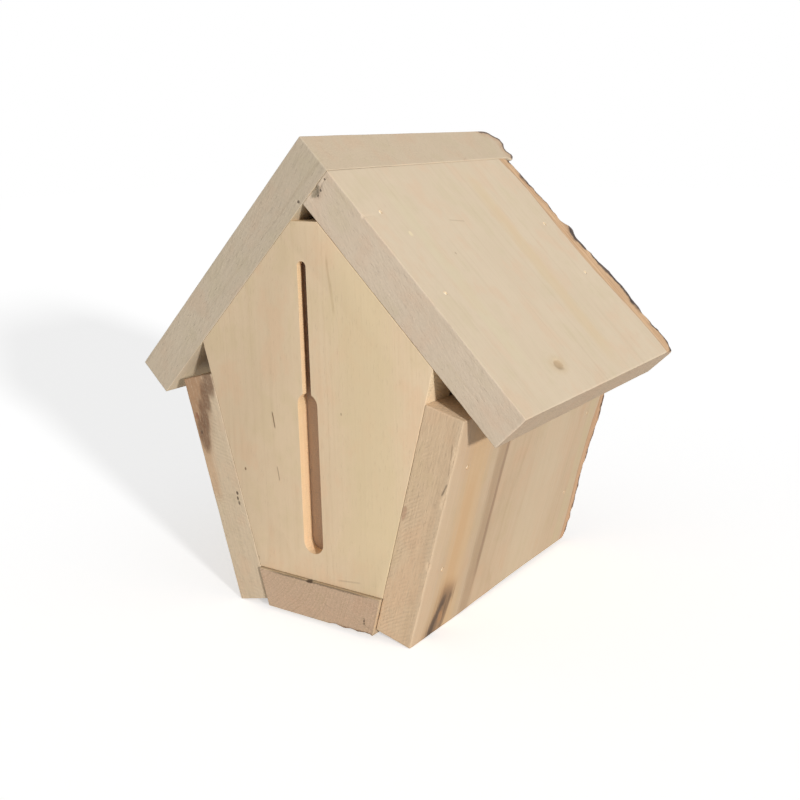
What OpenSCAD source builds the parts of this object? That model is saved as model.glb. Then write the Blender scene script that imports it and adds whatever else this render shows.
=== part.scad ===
// Bird house nailed up from live-edge boards, with a right-angled roof, walls that lean
// outwards, a keyhole slot for hanging and a bevelled floor that slides out for cleaning.
// Millimetres. +Z is up and the entrance looks along -Y. The origin is on the ground, under
// the middle of the house. Pieces are drawn with the back plane at y = 0, and then placed.

/* [Boards] */
// Thickness of every board
board_thickness = 22; // [15:0.5:28]
// Sawn width of the live-edge boards, from the back edge to where the bark side begins
board_width = 169; // [150:0.5:220]
// Gap left at each nailed face
nailed_fit = 0.05; // [0.02:0.01:0.2]

/* [Roof] */
// Slope of the roof boards, in degrees
roof_pitch = 45; // [40:0.5:50]
// Height of the ridge above the walls' lowest edges
ridge_height = 253.4; // [230:0.1:290]
// Length of the board whose end shows at the ridge
long_board_length = 171.1; // [160:0.1:200]
// Length of the board that butts against the long one
short_board_length = 151.2; // [140:0.1:180]

/* [Walls] */
// Width of the house across the outer bottom edges of the walls
base_width = 116.4; // [100:0.1:140]
// Outward lean of the walls, in degrees
wall_lean = 14.4; // [8:0.1:18]
// Air gap between the top of each wall and the roof
eave_gap = 4.2; // [3:0.1:12]

/* [Front and back panels] */
// Inside depth of the house, between the two panels
chamber_depth = 127; // [100:0.5:170]
// Height of the three-cornered air gap between each panel and the ridge
ridge_vent = 8.3; // [5:0.1:20]
// Diameter of the round entrance
entrance_diameter = 32; // [25:0.5:45]
// Height of the entrance's centre above the floor
entrance_rise = 121; // [90:0.5:130]

/* [Keyhole slot] */
// Sideways place of the slot from the middle of the back panel
keyhole_offset = 2.5; // [-8:0.1:8]
// Distance from the top edge of the back panel to the top of the slot
keyhole_drop = 19.2; // [12:0.1:40]
// Width of the narrow slot that the screw's shank fits
neck_width = 5.3; // [4.2:0.1:7]
// Length of the narrow slot above the wide one
neck_length = 66.8; // [30:0.1:80]
// Width of the wide slot, and of the space behind the narrow one
throat_width = 12.7; // [10:0.1:14]
// Length of the wide slot
throat_length = 88; // [30:0.1:95]
// Depth of the whole slot
keyhole_depth = 7.5; // [7:0.1:11]
// Thickness of the two lips that the screw's head catches behind
lip_thickness = 3.3; // [2.4:0.1:5]

/* [Floor] */
// Length of the floor from back to front
floor_length = 175; // [160:0.5:190]
// Height of the floor's underside above the walls' lowest edges
floor_lift = 2; // [0:0.1:8]
// How far the floor's back end stands out of the back plane
floor_proud = 1.6; // [0:0.1:4]
// Running gap round the sliding floor
slide_gap = 0.3; // [0.2:0.05:1]

/* [Live edges] */
// How far the bark side of the roof boards bulges beyond their sawn face at the ridge
ridge_bulge = 15; // [4:0.5:20]
// How far it bulges at the eaves
eave_bulge = 25; // [4:0.5:30]
// How far the bark side of the walls bulges
wall_bulge = 17; // [4:0.5:24]
// Depth below the outer face at which the bulge is fullest
bulge_depth = 7; // [4:0.5:12]
// How far the edge falls back again at the inner face
bulge_return = 3; // [0:0.5:5]
// Height of the slow wander along each edge
wander = 1.3; // [0:0.1:3]
// Length of one slow wander
wander_length = 118; // [60:1:200]
// Height of the short bark ripples
ripple = 0.7; // [0:0.1:1.5]
// Length of one bark ripple
ripple_length = 23; // [12:1:40]

/* [Nails] */
// Diameter of a nail's shank
nail_diameter = 1.3; // [1:0.1:2]
// Length of a nail
nail_length = 38; // [35:1:45]
// Diameter of a nail's head
nail_head = 2.2; // [1.8:0.1:3]
// Thickness of a nail's head
nail_head_height = 0.8; // [0.5:0.1:1.2]
// How deep the heads are driven below the wood
nail_set = 0.4; // [0.1:0.1:2]
// Gap round a nail in its hole
nail_fit = 0.04; // [0.01:0.01:0.1]
// Distance from the outer face of a panel to the nails that hold it
nail_inset = 15; // [6:0.5:16]
// Heights up each wall of the nails into the back panel
back_wall_nails = [43, 101.8]; // [30:0.1:110]
// Heights up each wall of the nails into the front panel
front_wall_nails = [43.2, 96.6]; // [30:0.1:110]
// Distances down each roof board of the nails into the back panel
back_roof_nails = [50, 101]; // [45:0.1:110]
// Distances down each roof board of the nails into the front panel
front_roof_nails = [73, 110]; // [45:0.1:110]
// Number of nails along the ridge
ridge_nail_count = 3; // [2:1:5]

/* [Hidden] */

// Spacing of the cross-sections along a live edge, and the steps round its bulge and below it
station_step = 5;
round_steps = 5;
flank_steps = 3;
// Length of a nail's point, and the space left in front of it
point_length = 2.5;
point_room = 0.3;
// Overshoot of a cutter beyond the face that it cuts
cut = 1;
// Roundness of the slots, nails and entrance
$fn = 48;

// Each live edge wanders and ripples from its own starting angle
long_roof_edge = 1;
short_roof_edge = 2;
right_wall_edge = 3;
left_wall_edge = 4;
// Turn of the wander and of the ripple from one edge to the next, in degrees
wander_turn = 137;
ripple_turn = 71;

// Bulge of a bark side at the start of its board's lay and one long board further on
roof_bulges = [ridge_bulge, eave_bulge];
wall_bulges = [wall_bulge, wall_bulge];

// Middle of the house from back to front, over the floor's proud end and the fullest bark
middle = (board_width + max(ridge_bulge, eave_bulge, wall_bulge) + wander + ripple - floor_proud) / 2;
front_face = 2 * board_thickness + chamber_depth;
floor_top = floor_lift + board_thickness;
panel_bottom = floor_top + slide_gap;
// Height at which the undersides of the two roof boards would meet
under_apex = ridge_height - board_thickness / cos(roof_pitch);
panel_top = under_apex - ridge_vent;
// Start of the short board, clear of the long board's inner face at any pitch
short_board_start = board_thickness * max(1 / sin(2 * roof_pitch), tan(roof_pitch)) + nailed_fit;
// The walls stop short of the roof by the eave gap
wall_length = (under_apex - base_width / 2 * tan(roof_pitch) - eave_gap / cos(roof_pitch))
    / (cos(wall_lean) + sin(wall_lean) * tan(roof_pitch));

keyhole_top = panel_top - keyhole_drop;
neck_end = keyhole_top - neck_width / 2;
throat_top = keyhole_top - neck_length;
throat_bottom = throat_top - throat_length;

// Half width between the walls' inner faces at height z
function inner_half_width(z) = base_width / 2 - board_thickness / cos(wall_lean) + z * tan(wall_lean);

// Half width at height z of a piece that keeps a gap from both walls
function between_walls(z, gap) = inner_half_width(z) - gap / cos(wall_lean);

// Half width at height z of a piece that keeps a gap from both roof boards
function under_roof(z, gap) = (under_apex - gap / cos(roof_pitch) - z) / tan(roof_pitch);

// Height of the panel's shoulders, where the wall and roof lines cross
function shoulder_height(gap) =
    (under_apex - gap / cos(roof_pitch) - between_walls(0, gap) * tan(roof_pitch))
    / (1 + tan(wall_lean) * tan(roof_pitch));

// Slow wander of one live edge at distance s along it
function edge_wander(s, edge) =
    wander * sin(360 * s / wander_length + wander_turn * edge)
    + wander / 3 * sin(1080 * s / wander_length + wander_turn * edge * 2);

// Bark ripple of one live edge, which dies away at the sawn outer face
function edge_ripple(s, depth, edge) =
    ripple * sin(360 * s / ripple_length + ripple_turn * edge + 9 * depth)
    * min(1, depth / bulge_depth);

// Points of the bark side at distance s, as [reach beyond the back edge, depth below the outer face]
function bark_side(s, edge, bulges) =
    let (
        sawn = board_width + edge_wander(s, edge),
        bulge = bulges[0] + (bulges[1] - bulges[0]) * s / long_board_length
    )
    concat(
        [for (k = [0 : round_steps])
            let (turn = 90 * k / round_steps, depth = bulge_depth * (1 - cos(turn)))
            [sawn + bulge * sin(turn) + edge_ripple(s, depth, edge), depth]],
        [for (k = [1 : flank_steps])
            let (share = k / flank_steps, depth = bulge_depth + (board_thickness - bulge_depth) * share)
            [sawn + bulge - bulge_return * share + edge_ripple(s, depth, edge), depth]]
    );

// One cross-section: the back edge's outer corner, the bark side, the back edge's inner corner
function board_section(s, edge, bulges) = concat(
    [[s, 0, 0]],
    [for (p = bark_side(s, edge, bulges)) [s, -p[0], -p[1]]],
    [[s, 0, -board_thickness]]
);

// A live-edge board lofted along its grain, which runs along X from start to end
// Its outer face is up at z = 0, its straight back edge lies on y = 0 and its bark side faces -Y
module live_edge_board(start, end, edge, bulges) {
    spans = ceil((end - start) / station_step);
    ring = round_steps + flank_steps + 3;
    last = spans * ring;
    points = [for (i = [0 : spans])
        each board_section(start + (end - start) * i / spans, edge, bulges)];
    bark_faces = [for (i = [0 : spans - 1]) for (j = [1 : ring - 3])
        let (a = i * ring + j, b = a + ring)
        each [[a, a + 1, b], [b, a + 1, b + 1]]];
    outer_face = concat([last], [0], [for (i = [0 : spans]) i * ring + 1]);
    inner_face = concat([ring - 1, last + ring - 1], [for (i = [spans : -1 : 0]) i * ring + ring - 2]);
    back_face = [0, last, last + ring - 1, ring - 1];
    start_face = [for (j = [ring - 1 : -1 : 0]) j];
    end_face = [for (j = [0 : ring - 1]) last + j];
    polyhedron(points, concat(bark_faces, [outer_face, inner_face, back_face, start_face, end_face]));
}

// Puts a child drawn flat, with its outer face up, onto the right-hand roof slope
module on_roof() {
    translate([0, 0, ridge_height])
        rotate([0, roof_pitch, 0])
            children();
}

// Puts a child drawn flat, with its outer face up and X running down from the wall's top
module on_wall() {
    translate([base_width / 2 + wall_length * sin(wall_lean), 0, wall_length * cos(wall_lean)])
        rotate([0, 90 + wall_lean, 0])
            children();
}

// One nail driven down from a board's outer face
module nail() {
    translate([0, 0, -nail_set - nail_head_height])
        cylinder(h = nail_head_height, d = nail_head);
    translate([0, 0, point_length - nail_length])
        cylinder(h = nail_length - point_length - nail_set - nail_head_height, d = nail_diameter);
    translate([0, 0, -nail_length])
        cylinder(h = point_length, d1 = 0.2, d2 = nail_diameter);
}

// The hole that one nail fills, with its head's recess open to the outer face
module nail_hole() {
    translate([0, 0, -nail_set - nail_head_height - nail_fit])
        cylinder(h = nail_set + nail_head_height + nail_fit + cut, d = nail_head + 2 * nail_fit);
    translate([0, 0, -nail_length - point_room])
        cylinder(h = nail_length, d = nail_diameter + 2 * nail_fit);
}

// Places of the nails that hold both panels, on a board drawn flat
module at_panel_nails(back_places, front_places) {
    for (s = back_places)
        translate([s, -nail_inset, 0])
            children();
    for (s = front_places)
        translate([s, nail_inset - front_face, 0])
            children();
}

module at_roof_nails() {
    at_panel_nails(back_roof_nails, front_roof_nails)
        children();
}

module at_wall_nails() {
    at_panel_nails([for (h = back_wall_nails) wall_length - h], [for (h = front_wall_nails) wall_length - h])
        children();
}

// Places of the nails through the long board into the end of the short one
module at_ridge_nails() {
    for (i = [1 : ridge_nail_count])
        translate([board_thickness / 2, -board_width * (i - 0.5) / ridge_nail_count, 0])
            children();
}

// Holes that the wall and roof nails leave in the two panels
module panel_nail_holes() {
    for (side = [0, 1])
        mirror([side, 0, 0]) {
            on_wall() at_wall_nails() nail_hole();
            on_roof() at_roof_nails() nail_hole();
        }
}

// Outline of both panels: floor line, wall lines up to the shoulders, roof lines, flat top
module panel_outline() {
    shoulder_z = shoulder_height(nailed_fit);
    shoulder_x = between_walls(shoulder_z, nailed_fit);
    foot_x = between_walls(panel_bottom, nailed_fit);
    top_x = under_roof(panel_top, nailed_fit);
    polygon([
        [-foot_x, panel_bottom], [foot_x, panel_bottom], [shoulder_x, shoulder_z],
        [top_x, panel_top], [-top_x, panel_top], [-shoulder_x, shoulder_z]
    ]);
}

// A panel whose outer face is towards +Y, at y = 0
module panel_blank() {
    rotate([90, 0, 0])
        linear_extrude(board_thickness)
            panel_outline();
}

// A slot with round ends, cut from depth near to depth far behind the back plane
module slot_cut(width, bottom_centre, top_centre, near, far) {
    for (z = [bottom_centre, top_centre])
        translate([0, -far, z])
            rotate([-90, 0, 0])
                cylinder(h = far - near, d = width);
    translate([-width / 2, -far, bottom_centre])
        cube([width, far - near, top_centre - bottom_centre]);
}

// The hanging slot: a wide way in, and above it a narrow neck with a space behind for the head
module keyhole() {
    low = throat_bottom + throat_width / 2;
    high = throat_top - throat_width / 2;
    translate([keyhole_offset, 0, 0]) {
        slot_cut(throat_width, low, high, -cut, keyhole_depth);
        slot_cut(neck_width, high, neck_end, -cut, lip_thickness + cut);
        slot_cut(throat_width, high, neck_end, lip_thickness, keyhole_depth);
    }
}

module back_panel() {
    color([0.82, 0.73, 0.59])
        difference() {
            panel_blank();
            keyhole();
            panel_nail_holes();
        }
}

module front_panel() {
    color([0.83, 0.74, 0.60])
        difference() {
            translate([0, board_thickness - front_face, 0])
                panel_blank();
            translate([0, cut - front_face + board_thickness, floor_top + entrance_rise])
                rotate([90, 0, 0])
                    cylinder(h = board_thickness + 2 * cut, d = entrance_diameter);
            panel_nail_holes();
        }
}

// Wall on the right-hand side, seen from the front
module wall(edge) {
    on_wall()
        difference() {
            live_edge_board(0, wall_length, edge, wall_bulges);
            at_wall_nails() nail_hole();
        }
}

module right_wall() {
    color([0.80, 0.71, 0.58])
        wall(right_wall_edge);
}

module left_wall() {
    color([0.79, 0.69, 0.56])
        mirror([1, 0, 0])
            wall(left_wall_edge);
}

module long_roof_board() {
    color([0.86, 0.79, 0.67])
        on_roof()
            difference() {
                live_edge_board(0, long_board_length, long_roof_edge, roof_bulges);
                at_roof_nails() nail_hole();
                at_ridge_nails() nail_hole();
            }
}

module short_roof_board() {
    color([0.87, 0.80, 0.68])
        difference() {
            mirror([1, 0, 0])
                on_roof()
                    difference() {
                        live_edge_board(short_board_start, short_board_start + short_board_length,
                            short_roof_edge, roof_bulges);
                        at_roof_nails() nail_hole();
                    }
            on_roof() at_ridge_nails() nail_hole();
        }
}

// Floor, a plank with its grain from back to front, bevelled along both sides so that it
// rides between the leaning walls
module floor_board() {
    foot_x = between_walls(floor_lift, slide_gap);
    top_x = between_walls(floor_top, slide_gap);
    color([0.76, 0.66, 0.53])
        translate([0, floor_proud, 0])
            rotate([90, 0, 0])
                linear_extrude(floor_length)
                    polygon([
                        [-foot_x, floor_lift], [foot_x, floor_lift],
                        [top_x, floor_top], [-top_x, floor_top]
                    ]);
}

// Moves a piece drawn from the back plane to its place about the origin
module placed() {
    translate([0, middle, 0])
        children();
}

module right_wall_nails() {
    color([0.66, 0.66, 0.64])
        on_wall() at_wall_nails() nail();
}

module left_wall_nails() {
    color([0.66, 0.66, 0.64])
        mirror([1, 0, 0])
            on_wall() at_wall_nails() nail();
}

module long_roof_nails() {
    color([0.66, 0.66, 0.64])
        on_roof() at_roof_nails() nail();
}

module short_roof_nails() {
    color([0.66, 0.66, 0.64])
        mirror([1, 0, 0])
            on_roof() at_roof_nails() nail();
}

module ridge_nails() {
    color([0.66, 0.66, 0.64])
        on_roof() at_ridge_nails() nail();
}

placed() back_panel();
placed() front_panel();
placed() left_wall();
placed() right_wall();
placed() long_roof_board();
placed() short_roof_board();
placed() floor_board();
placed() left_wall_nails();
placed() right_wall_nails();
placed() long_roof_nails();
placed() short_roof_nails();
placed() ridge_nails();
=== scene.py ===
"""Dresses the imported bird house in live-edge boards of pale wood and sets up its studio.

Measures are in millimetres, as in the part's source, until a piece's mesh is made. Blender's
scene is in metres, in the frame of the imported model: +Z is up and the entrance looks along -Y.
A place on a board is given as (along its grain, across it, down from its outer face).
"""

from __future__ import annotations

import logging
import math
from collections.abc import Iterable, Sequence
from dataclasses import dataclass
from enum import Enum
from typing import ClassVar

import bmesh
import bpy
import numpy as np
from mathutils import Matrix, Vector, noise
from mathutils.kdtree import KDTree


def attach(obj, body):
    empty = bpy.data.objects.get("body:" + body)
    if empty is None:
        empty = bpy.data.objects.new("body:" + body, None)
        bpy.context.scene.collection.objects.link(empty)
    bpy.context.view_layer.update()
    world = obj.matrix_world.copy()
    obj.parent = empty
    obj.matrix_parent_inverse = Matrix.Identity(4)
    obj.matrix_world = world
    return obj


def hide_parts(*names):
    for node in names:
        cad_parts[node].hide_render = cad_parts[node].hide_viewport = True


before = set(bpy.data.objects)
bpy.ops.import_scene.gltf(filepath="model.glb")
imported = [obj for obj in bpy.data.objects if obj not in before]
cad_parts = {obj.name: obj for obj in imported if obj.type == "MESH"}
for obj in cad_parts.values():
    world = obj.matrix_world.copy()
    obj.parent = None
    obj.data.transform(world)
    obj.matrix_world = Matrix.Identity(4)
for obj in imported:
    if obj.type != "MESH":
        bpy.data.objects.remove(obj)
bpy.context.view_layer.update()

MM = 0.001

# Angle between two faces from which their edge stays sharp
STEEP = math.radians(28)

# Thickness of the boards, width of the walls' and roof's sawn faces, length of the longest board
BOARD = 22.0
SAWN_WIDTH = 169.0
LONG_BOARD = 171.1

# A depth that lies below every board, and the narrowest space between grid lines
FAR = 99.0
CLOSEST = 0.12

# Width of the inner bark that shows on a face along its live edge
FACE_BAND = 1.6

# Height in metres that one unit of a surface's relief stands for
SMOOTH_LIFT, ROUGH_LIFT, BARK_LIFT, WIRE_LIFT = 0.00012, 0.0002, 0.0007, 0.00003

# Places of an arris's first grid lines, counted in its radius
ARRIS_LINES = (0.13, 0.5, 1.0, 1.6)

# The wood's own shades, as factors of red, green and blue
DARKER, PALER = (0.76, 0.71, 0.62), (1.03, 1.036, 1.046)
PINKER, GREENER = (1.03, 0.97, 0.95), (0.972, 0.99, 0.945)

log = logging.getLogger("bird_house")

Colour = tuple[float, float, float]
Place = tuple[float, float, float]
Spot = tuple[float, float]
Askew = tuple[tuple[float, ...], tuple[float, ...]]
Array = np.ndarray
Piece = bpy.types.Object
Material = bpy.types.Material
Socket = bpy.types.NodeSocket
Layer = tuple[Colour | Socket, Socket, float, float, float]

# An end that is cut square: places across it, and how much shorter the board is there
SQUARE: Askew = ((0.0, 200.0), (0.0, 0.0))


class Side(Enum):
    """Which way a board's face looks, with its material's place on the board."""

    OUTER = 0
    BARK = 1
    INNER = 2
    BACK = 3
    START = 4
    END = 5


class Cut(Enum):
    """How a surface of a board came about."""

    PLANED = "planed"
    SAWN = "sawn"
    CROSSCUT = "crosscut"
    ROUTED = "routed"
    BARK = "bark"


class Hand(Enum):
    """Side of the house, as seen by someone who faces the entrance."""

    LEFT = -1
    RIGHT = 1


def srgb(red: float, green: float, blue: float) -> Colour:
    """Turns a colour given as 0 to 255 screen values into linear light."""
    return tuple(
        c / 12.92 if c <= 0.04045 else ((c + 0.055) / 1.055) ** 2.4
        for c in (red / 255, green / 255, blue / 255)
    )


def toned(colour: Colour, factor: float | Colour) -> Colour:
    """Makes a colour darker or paler, by one factor or one for each of red, green and blue."""
    factors = factor if isinstance(factor, tuple) else (factor,) * 3
    return tuple(min(1.0, c * f) for c, f in zip(colour, factors))


def add_object(name: str, data: bpy.types.ID) -> Piece:
    """Makes an object and puts it into the scene.

    Args:
        name: its name.
        data: its mesh, lamp or camera.

    Returns:
        The new object.
    """
    made = bpy.data.objects.new(name, data)
    bpy.context.scene.collection.objects.link(made)
    return made


@dataclass(frozen=True)
class Lay:
    """Where a board lies in the house: its corner, and the ways of its grain, width and depth."""

    origin: Place
    along: Place
    across: Place
    down: Place

    def axes(self) -> Array:
        """The three ways as rows."""
        return np.array([self.along, self.across, self.down], float)

    def place(self, local: Array) -> Array:
        """Puts rows of along, across and down, in millimetres, into the house, in metres."""
        return (np.array(self.origin) + np.asarray(local, float) @ self.axes()) * MM

    def local(self, points: Array) -> Array:
        """Turns points of the house, in metres, into rows of along, across and down."""
        return (np.asarray(points, float) / MM - np.array(self.origin)) @ self.axes().T

    def mirrored(self) -> bool:
        """Whether the three ways make a left-handed set."""
        return float(np.linalg.det(self.axes())) < 0


Nailing = tuple[Lay, Spot]


@dataclass(frozen=True)
class HousePlan:
    """The house's main measures, named as in the part's source; angles are in degrees.

    Attributes:
        middle: distance from the frame's origin to the back plane.
    """

    thickness: float = BOARD
    ridge_height: float = 253.4
    roof_pitch: float = 45.0
    long_board: float = LONG_BOARD
    short_board: float = 151.2
    base_width: float = 116.4
    wall_lean: float = 14.4
    eave_gap: float = 4.2
    chamber_depth: float = 127.0
    ridge_vent: float = 8.3
    nailed_fit: float = 0.05
    slide_gap: float = 0.3
    floor_lift: float = 2.0
    middle: float = 97.2
    nail_inset: float = 15.0

    @property
    def under_apex(self) -> float:
        """Height at which the roof boards' inner faces would meet."""
        return self.ridge_height - self.thickness / math.cos(math.radians(self.roof_pitch))

    @property
    def panel_top(self) -> float:
        """Height of the panels' flat tops."""
        return self.under_apex - self.ridge_vent

    @property
    def floor_top(self) -> float:
        """Height of the floor's upper face."""
        return self.floor_lift + self.thickness

    @property
    def front_face(self) -> float:
        """Distance from the back plane to the front panel's outer face."""
        return 2 * self.thickness + self.chamber_depth

    @property
    def wall_length(self) -> float:
        """Length of each wall from its top to its foot."""
        lean, pitch = math.radians(self.wall_lean), math.radians(self.roof_pitch)
        under = self.under_apex - self.base_width / 2 * math.tan(pitch)
        rise = under - self.eave_gap / math.cos(pitch)
        return rise / (math.cos(lean) + math.sin(lean) * math.tan(pitch))

    def between_walls(self, height: float, gap: float) -> float:
        """Half width, at a height, of a piece that keeps a gap from both walls."""
        lean = math.radians(self.wall_lean)
        return (self.base_width / 2 - self.thickness / math.cos(lean) + height * math.tan(lean)
                - gap / math.cos(lean))

    def under_roof(self, height: float, gap: float) -> float:
        """Half width, at a height, of a piece that keeps a gap from both roof boards."""
        pitch = math.radians(self.roof_pitch)
        return (self.under_apex - gap / math.cos(pitch) - height) / math.tan(pitch)

    def roof_lay(self, hand: Hand) -> Lay:
        """Lay of a roof board, which runs down from the ridge.

        Args:
            hand: side of the house.

        Returns:
            The lay.
        """
        pitch = math.radians(self.roof_pitch)
        side = hand.value
        return Lay(
            (0, self.middle, self.ridge_height),
            (side * math.cos(pitch), 0, -math.sin(pitch)),
            (0, -1, 0),
            (-side * math.sin(pitch), 0, -math.cos(pitch)),
        )

    def wall_lay(self, hand: Hand) -> Lay:
        """Lay of a wall, which runs down from its top.

        Args:
            hand: side of the house.

        Returns:
            The lay.
        """
        lean = math.radians(self.wall_lean)
        side = hand.value
        top = self.base_width / 2 + self.wall_length * math.sin(lean)
        return Lay(
            (side * top, self.middle, self.wall_length * math.cos(lean)),
            (-side * math.sin(lean), 0, -math.cos(lean)),
            (0, -1, 0),
            (-side * math.cos(lean), 0, math.sin(lean)),
        )

    def panel_lay(self, outer_face: float, way: int) -> Lay:
        """Lay of a panel: grain upwards, outer face at a depth behind the back plane."""
        return Lay((0, self.middle - outer_face, 0), (0, 0, 1), (1, 0, 0), (0, -way, 0))

    def floor_lay(self, proud: float) -> Lay:
        """Lay of the floor, whose grain runs from back to front."""
        corner = (0, self.middle + proud, self.floor_top)
        return Lay(corner, (0, -1, 0), (1, 0, 0), (0, 0, -1))


@dataclass(frozen=True)
class LiveEdge:
    """The bark side of one board, as in the part's source, with this board's own swells.

    Attributes:
        number: starting angle of the edge's wander and ripple, counted in turns.
        bulges: bulge where the board's lay starts, and one long board further on.
        marks: places along the edge with the sawn face's width and the fullest reach there.
        rough: height of the bark's own relief.
        sawn_width: mean width of the sawn outer face.
        long_board: length of the longest board.
        bulge_depth: how deep the bark stands out furthest.
        bulge_return: how far it comes back in by the inner face.
        fullness: how round the bulge is, as a power.
        wander: how far the sawn face's width strays, in waves of wander_length.
        wander_turn: starting angle of that stray, for each number.
        ripple: height of the bark's ripples, in waves of ripple_length.
        ripple_turn: starting angle of the ripples, for each number.
    """

    number: int
    bulges: Spot
    marks: tuple[Place, ...] = ()
    rough: float = 0.55
    sawn_width: float = SAWN_WIDTH
    long_board: float = LONG_BOARD
    bulge_depth: float = 7.0
    bulge_return: float = 3.0
    fullness: float = 0.75
    wander: float = 1.3
    wander_length: float = 118.0
    wander_turn: float = 137.0
    ripple: float = 0.7
    ripple_length: float = 23.0
    ripple_turn: float = 71.0

    def _marked(self, along: Array, column: int) -> Array:
        """Reads the marks between their places, with the corners smoothed.

        Args:
            along: places along the grain.
            column: 1 for the sawn face's width, 2 for the fullest reach.

        Returns:
            The width or reach at those places.
        """
        table = np.array(self.marks)
        offsets = np.array([-2.0, -1.0, 0.0, 1.0, 2.0])
        weights = np.array([0.13, 0.22, 0.3, 0.22, 0.13])
        spread = np.asarray(along, float)[..., None] + offsets
        return np.interp(spread, table[:, 0], table[:, column]) @ weights

    def sawn(self, along: Array) -> Array:
        """Width of the sawn outer face.

        Args:
            along: places along the grain.

        Returns:
            The width at those places.
        """
        if self.marks:
            return self._marked(along, 1)
        turn = self.wander_turn * self.number
        slow = np.sin(np.radians(360 * along / self.wander_length + turn))
        quick = np.sin(np.radians(1080 * along / self.wander_length + 2 * turn))
        return self.sawn_width + self.wander * (slow + quick / 3)

    def bulge(self, along: Array) -> Array:
        """How far the bark stands beyond the sawn face.

        Args:
            along: places along the grain.

        Returns:
            The distance at those places.
        """
        if self.marks:
            return self._marked(along, 2) - self.sawn(along)
        low, high = self.bulges
        return low + (high - low) * along / self.long_board

    def ripples(self, along: Array, down: Array) -> Array:
        """Bark ripples, which die away at the sawn outer face."""
        turn = 360 * along / self.ripple_length + self.ripple_turn * self.number + 9 * down
        return self.ripple * np.sin(np.radians(turn)) * np.minimum(1, down / self.bulge_depth)

    def profile(self, along: Array, turns: Array, shares: Array, thickness: float) -> Array:
        """Bark side of each cross-section, from the outer face down to the inner one.

        Args:
            along: places of the cross-sections.
            turns: turns round the bulge, from 0 to 90 degrees.
            shares: shares of the flank below the bulge, from above 0 to 1.
            thickness: thickness of the board.

        Returns:
            Array of cross-section, point, and (across, down).
        """
        sawn, bulge = self.sawn(along)[:, None], self.bulge(along)[:, None]
        angle = np.radians(turns)[None, :]
        down = np.concatenate([
            self.bulge_depth * (1 - np.cos(np.radians(turns))),
            self.bulge_depth + (thickness - self.bulge_depth) * shares,
        ])[None, :] * np.ones_like(sawn)
        reach = np.concatenate([
            sawn + bulge * np.sin(angle) ** self.fullness,
            sawn + bulge - self.bulge_return * shares[None, :],
        ], axis=1)
        return np.stack([reach + self.ripples(along[:, None], down), down], axis=-1)


@dataclass(frozen=True)
class Dent:
    """A dip, chip or knot hole in a board, as an egg-shaped hollow.

    Attributes:
        place: its middle, as along, across and down.
        reach: its half sizes in the same three ways.
        depth: how deep the middle lies, or how high for a depth below zero.
        ragged: how uneven its rim is, from 0 to 1.
    """

    place: Place
    reach: Place
    depth: float
    ragged: float = 0.0


def graded(low: float, high: float, step: float, fine: Iterable[Place] = ()) -> Array:
    """Spaces grid lines evenly, with closer ones round chosen places.

    Args:
        low: first line.
        high: last line.
        step: widest space between lines.
        fine: places that need closer lines, as (place, half width, space).

    Returns:
        The lines in rising order, never closer than CLOSEST.
    """
    lines = list(np.linspace(low, high, max(2, round((high - low) / step) + 1)))
    for place, half, space in fine:
        near = np.arange(place - half, place + half + space / 2, space)
        lines += [x for x in near if low < x < high]
    lines.sort()
    kept = [lines[0]]
    for x in lines[1:-1]:
        if x - kept[-1] > CLOSEST and high - x > CLOSEST:
            kept.append(float(x))
    return np.array(kept + [high])


def roughness_field(points: Array, size: Sequence[float], seed: float, octaves: int = 3) -> Array:
    """Unevenness of about -1 to 1 at each point, with bumps of a size in each way."""
    scaled = points / np.array(size) + seed
    return np.array([noise.fractal(Vector(p), 1.0, 2.0, octaves) for p in scaled])


def arris_wear(stations: Array, size: Sequence[float], seed: float) -> Array:
    """Factor, about 0.75, by which a long arris is rounder or sharper from place to place."""
    line = np.column_stack([stations, stations * 0, stations * 0])
    return 0.75 + 0.4 * roughness_field(line, size, seed + 40, 3)


@dataclass
class Sections:
    """Four-sided cross-sections of a plank, one for each station along its grain.

    Each side is an array of station, point and (across, down). The outer and inner sides have
    the same number of points, and so have the bark and back sides. Neighbours share corners.
    """

    stations: Array
    outer: Array
    bark: Array
    inner: Array
    back: Array

    def ring(self) -> Array:
        """All four sides as closed rings, each corner once."""
        return np.concatenate([
            self.outer[:, :-1], self.bark[:, :-1], self.inner[:, :0:-1], self.back[:, :0:-1],
        ], axis=1)

    def sides(self) -> list[Side]:
        """The side that each stretch of the ring belongs to."""
        wide, deep = self.outer.shape[1] - 1, self.bark.shape[1] - 1
        return [Side.OUTER] * wide + [Side.BARK] * deep + [Side.INNER] * wide + [Side.BACK] * deep


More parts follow.
